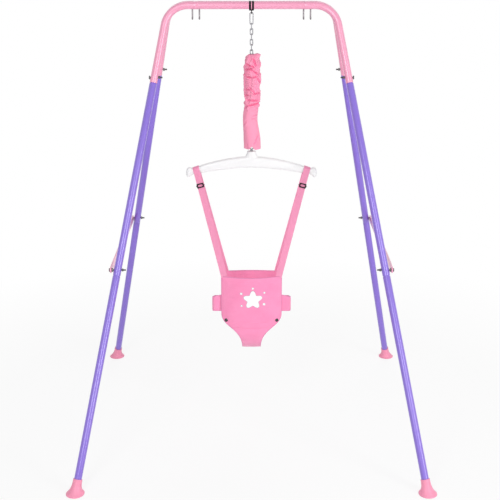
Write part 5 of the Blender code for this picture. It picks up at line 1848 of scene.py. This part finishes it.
class JUMPER_OT_print(bpy.types.Operator):
    """Prints a plain rounded star with a few dots on the front panel"""

    bl_idname = "jumper.star_print"
    bl_label = "Print"

    def execute(self, context):
        front = bpy.data.objects["seat_front_pad"]
        for name, finish, grow, lift in INKS:
            bm = bmesh.new()
            self.blob(bm, STAR_PLACE, lambda a: STAR_RADIUS * (0.8 + 0.2 * cos(5 * a - 2.5 * pi)) + grow)
            for x, z, radius in DOTS:
                self.blob(bm, (x, z), lambda a: radius + grow * 0.7)
            for vert in bm.verts:
                start = Vector((vert.co.x, -0.2, vert.co.z))
                hit, spot = front.ray_cast(start, Y_AXIS)[:2]
                if not hit:
                    raise RuntimeError("the print misses the front panel")
                vert.co.y = spot.y - lift
            settle(name, bm, finish, "seat", sharp=60)
        return {"FINISHED"}

    def blob(self, bm, place, radius_at):
        """A flat disc of rings whose radius follows the direction."""
        rings = 10
        loops = []
        before = set(bm.verts)
        for i in range(1, rings + 1):
            loops.append(circle_loop(bm, Matrix.Identity(4), i / rings, 60))
        skin(bm, loops, loops[0])
        for vert in set(bm.verts) - before:
            angle = atan2(vert.co.y, vert.co.x)
            reach = Vector((vert.co.x, vert.co.y)).length * radius_at(angle)
            vert.co = (place[0] + reach * cos(angle), 0.0, place[1] + reach * sin(angle))


class JUMPER_OT_stage(bpy.types.Operator):
    """Sets the floor, the soft lamps, the white surround and the camera"""

    bl_idname = "jumper.stage"
    bl_label = "Stage"

    def execute(self, context):
        scene = context.scene
        scene.view_settings.view_transform = "Standard"
        self.surround(scene)
        bm = bmesh.new()
        bmesh.ops.create_circle(bm, cap_ends=True, segments=96, radius=FLOOR_RADIUS)
        floor = bpy.data.objects.new("floor", to_mesh(bm))
        scene.collection.objects.link(floor)
        floor.data.materials.append(floor_paint())
        for name, place, (width, height), power in LAMPS:
            data = bpy.data.lights.new(name, "AREA")
            data.shape = "RECTANGLE"
            data.size, data.size_y = width, height
            data.energy = power
            lamp = bpy.data.objects.new(name, data)
            lamp.location = place
            aim = Vector(LAMP_AIM) - Vector(place)
            lamp.rotation_euler = aim.to_track_quat("-Z", "Y").to_euler()
            lamp.visible_glossy = name != "back"
            scene.collection.objects.link(lamp)
        data = bpy.data.cameras.new("camera")
        data.lens = CAMERA_LENS
        data.sensor_width = 36.0
        data.shift_x = CAMERA_SHIFT
        camera = bpy.data.objects.new("camera", data)
        camera.location = CAMERA_PLACE
        camera.rotation_euler = (radians(90 - CAMERA_PITCH), 0, 0)
        scene.collection.objects.link(camera)
        scene.camera = camera
        return {"FINISHED"}

    def surround(self, scene):
        """White where it is seen, and softer where it only lights the object."""
        world = bpy.data.worlds.new("white_room")
        world.use_nodes = True
        tree = world.node_tree
        ground = tree.nodes["Background"]
        ground.inputs["Color"].default_value = (1.0, 1.0, 1.0, 1.0)
        path = tree.nodes.new("ShaderNodeLightPath")
        level = None
        for name in SEEN:
            higher = tree.nodes.new("ShaderNodeMath")
            higher.operation = "MAXIMUM"
            tree.links.new(path.outputs[name], higher.inputs[0])
            if level:
                tree.links.new(level, higher.inputs[1])
            else:
                higher.inputs[1].default_value = ROOM_LIGHT
            level = higher.outputs[0]
        tree.links.new(level, ground.inputs["Strength"])
        scene.world = world


def floor_paint():
    """A white floor that shows only the object's shadow and fades into the white surround."""
    f = Finish((0.95, 0.95, 0.95), 0.9)
    f.material.name = "floor_paint"
    place = f.place()
    f.shade(f.noise(place, 3.0, 2.0) * 0.05, (0.98, 0.98, 0.98))
    white = {"Color": (1.0, 1.0, 1.0, 1.0), "Strength": 1.0}
    glow = f.node("ShaderNodeEmission", sockets=white)
    away = f.node("ShaderNodeVectorMath", {"operation": "LENGTH"}, {0: place}, output="Value")
    share = 0.84 + f.ramp(away * 0.25, (0.22, 0.0), (0.42, 1.0)) * 0.16
    seen = [f.node("ShaderNodeLightPath", output=name) for name in SEEN]
    level = f.math("MAXIMUM", f.math("MAXIMUM", seen[0], seen[1]), seen[2])
    shader = Field(f, f.shader.outputs[0])
    mixed = f.node("ShaderNodeMixShader", sockets={0: level * share, 1: shader, 2: glow})
    f.feed(f.tree.nodes["Material Output"].inputs["Surface"], mixed)
    return f.material


MAKERS = (
    JUMPER_OT_stage,
    JUMPER_OT_tubes,
    JUMPER_OT_feet,
    JUMPER_OT_bolts,
    JUMPER_OT_stays,
    JUMPER_OT_swing_hooks,
    JUMPER_OT_hanger,
    JUMPER_OT_chain,
    JUMPER_OT_spring,
    JUMPER_OT_sleeve,
    JUMPER_OT_spreader,
    JUMPER_OT_straps,
    JUMPER_OT_adjusters,
    JUMPER_OT_seat,
    JUMPER_OT_wings,
    JUMPER_OT_snaps,
    JUMPER_OT_print,
)


class JUMPER_PT_panel(bpy.types.Panel):
    """Lists the pieces that can be made"""

    bl_label = "Baby jumper"
    bl_space_type = "VIEW_3D"
    bl_region_type = "UI"
    bl_category = "Jumper"

    def draw(self, context):
        for maker in MAKERS:
            self.layout.operator(maker.bl_idname)
        for group in ("jumper_stand", "jumper_line", "jumper_seat", "jumper_tints"):
            box = self.layout.box()
            settings = getattr(context.scene, group)
            for key in settings.__annotations__:
                box.prop(settings, key)


GROUPS = (
    ("jumper_stand", StandSizes),
    ("jumper_line", LineSizes),
    ("jumper_seat", SeatSizes),
    ("jumper_tints", Tints),
)


def register():
    for name, group in GROUPS:
        bpy.utils.register_class(group)
        setattr(bpy.types.Scene, name, bpy.props.PointerProperty(type=group))
    for made in (*MAKERS, JUMPER_PT_panel):
        bpy.utils.register_class(made)


def unregister():
    for made in (JUMPER_PT_panel, *MAKERS[::-1]):
        bpy.utils.unregister_class(made)
    for name, group in GROUPS[::-1]:
        delattr(bpy.types.Scene, name)
        bpy.utils.unregister_class(group)


def main():
    register()
    for maker in MAKERS:
        group, name = maker.bl_idname.split(".")
        getattr(getattr(bpy.ops, group), name)()


if __name__ == "__main__":
    main()
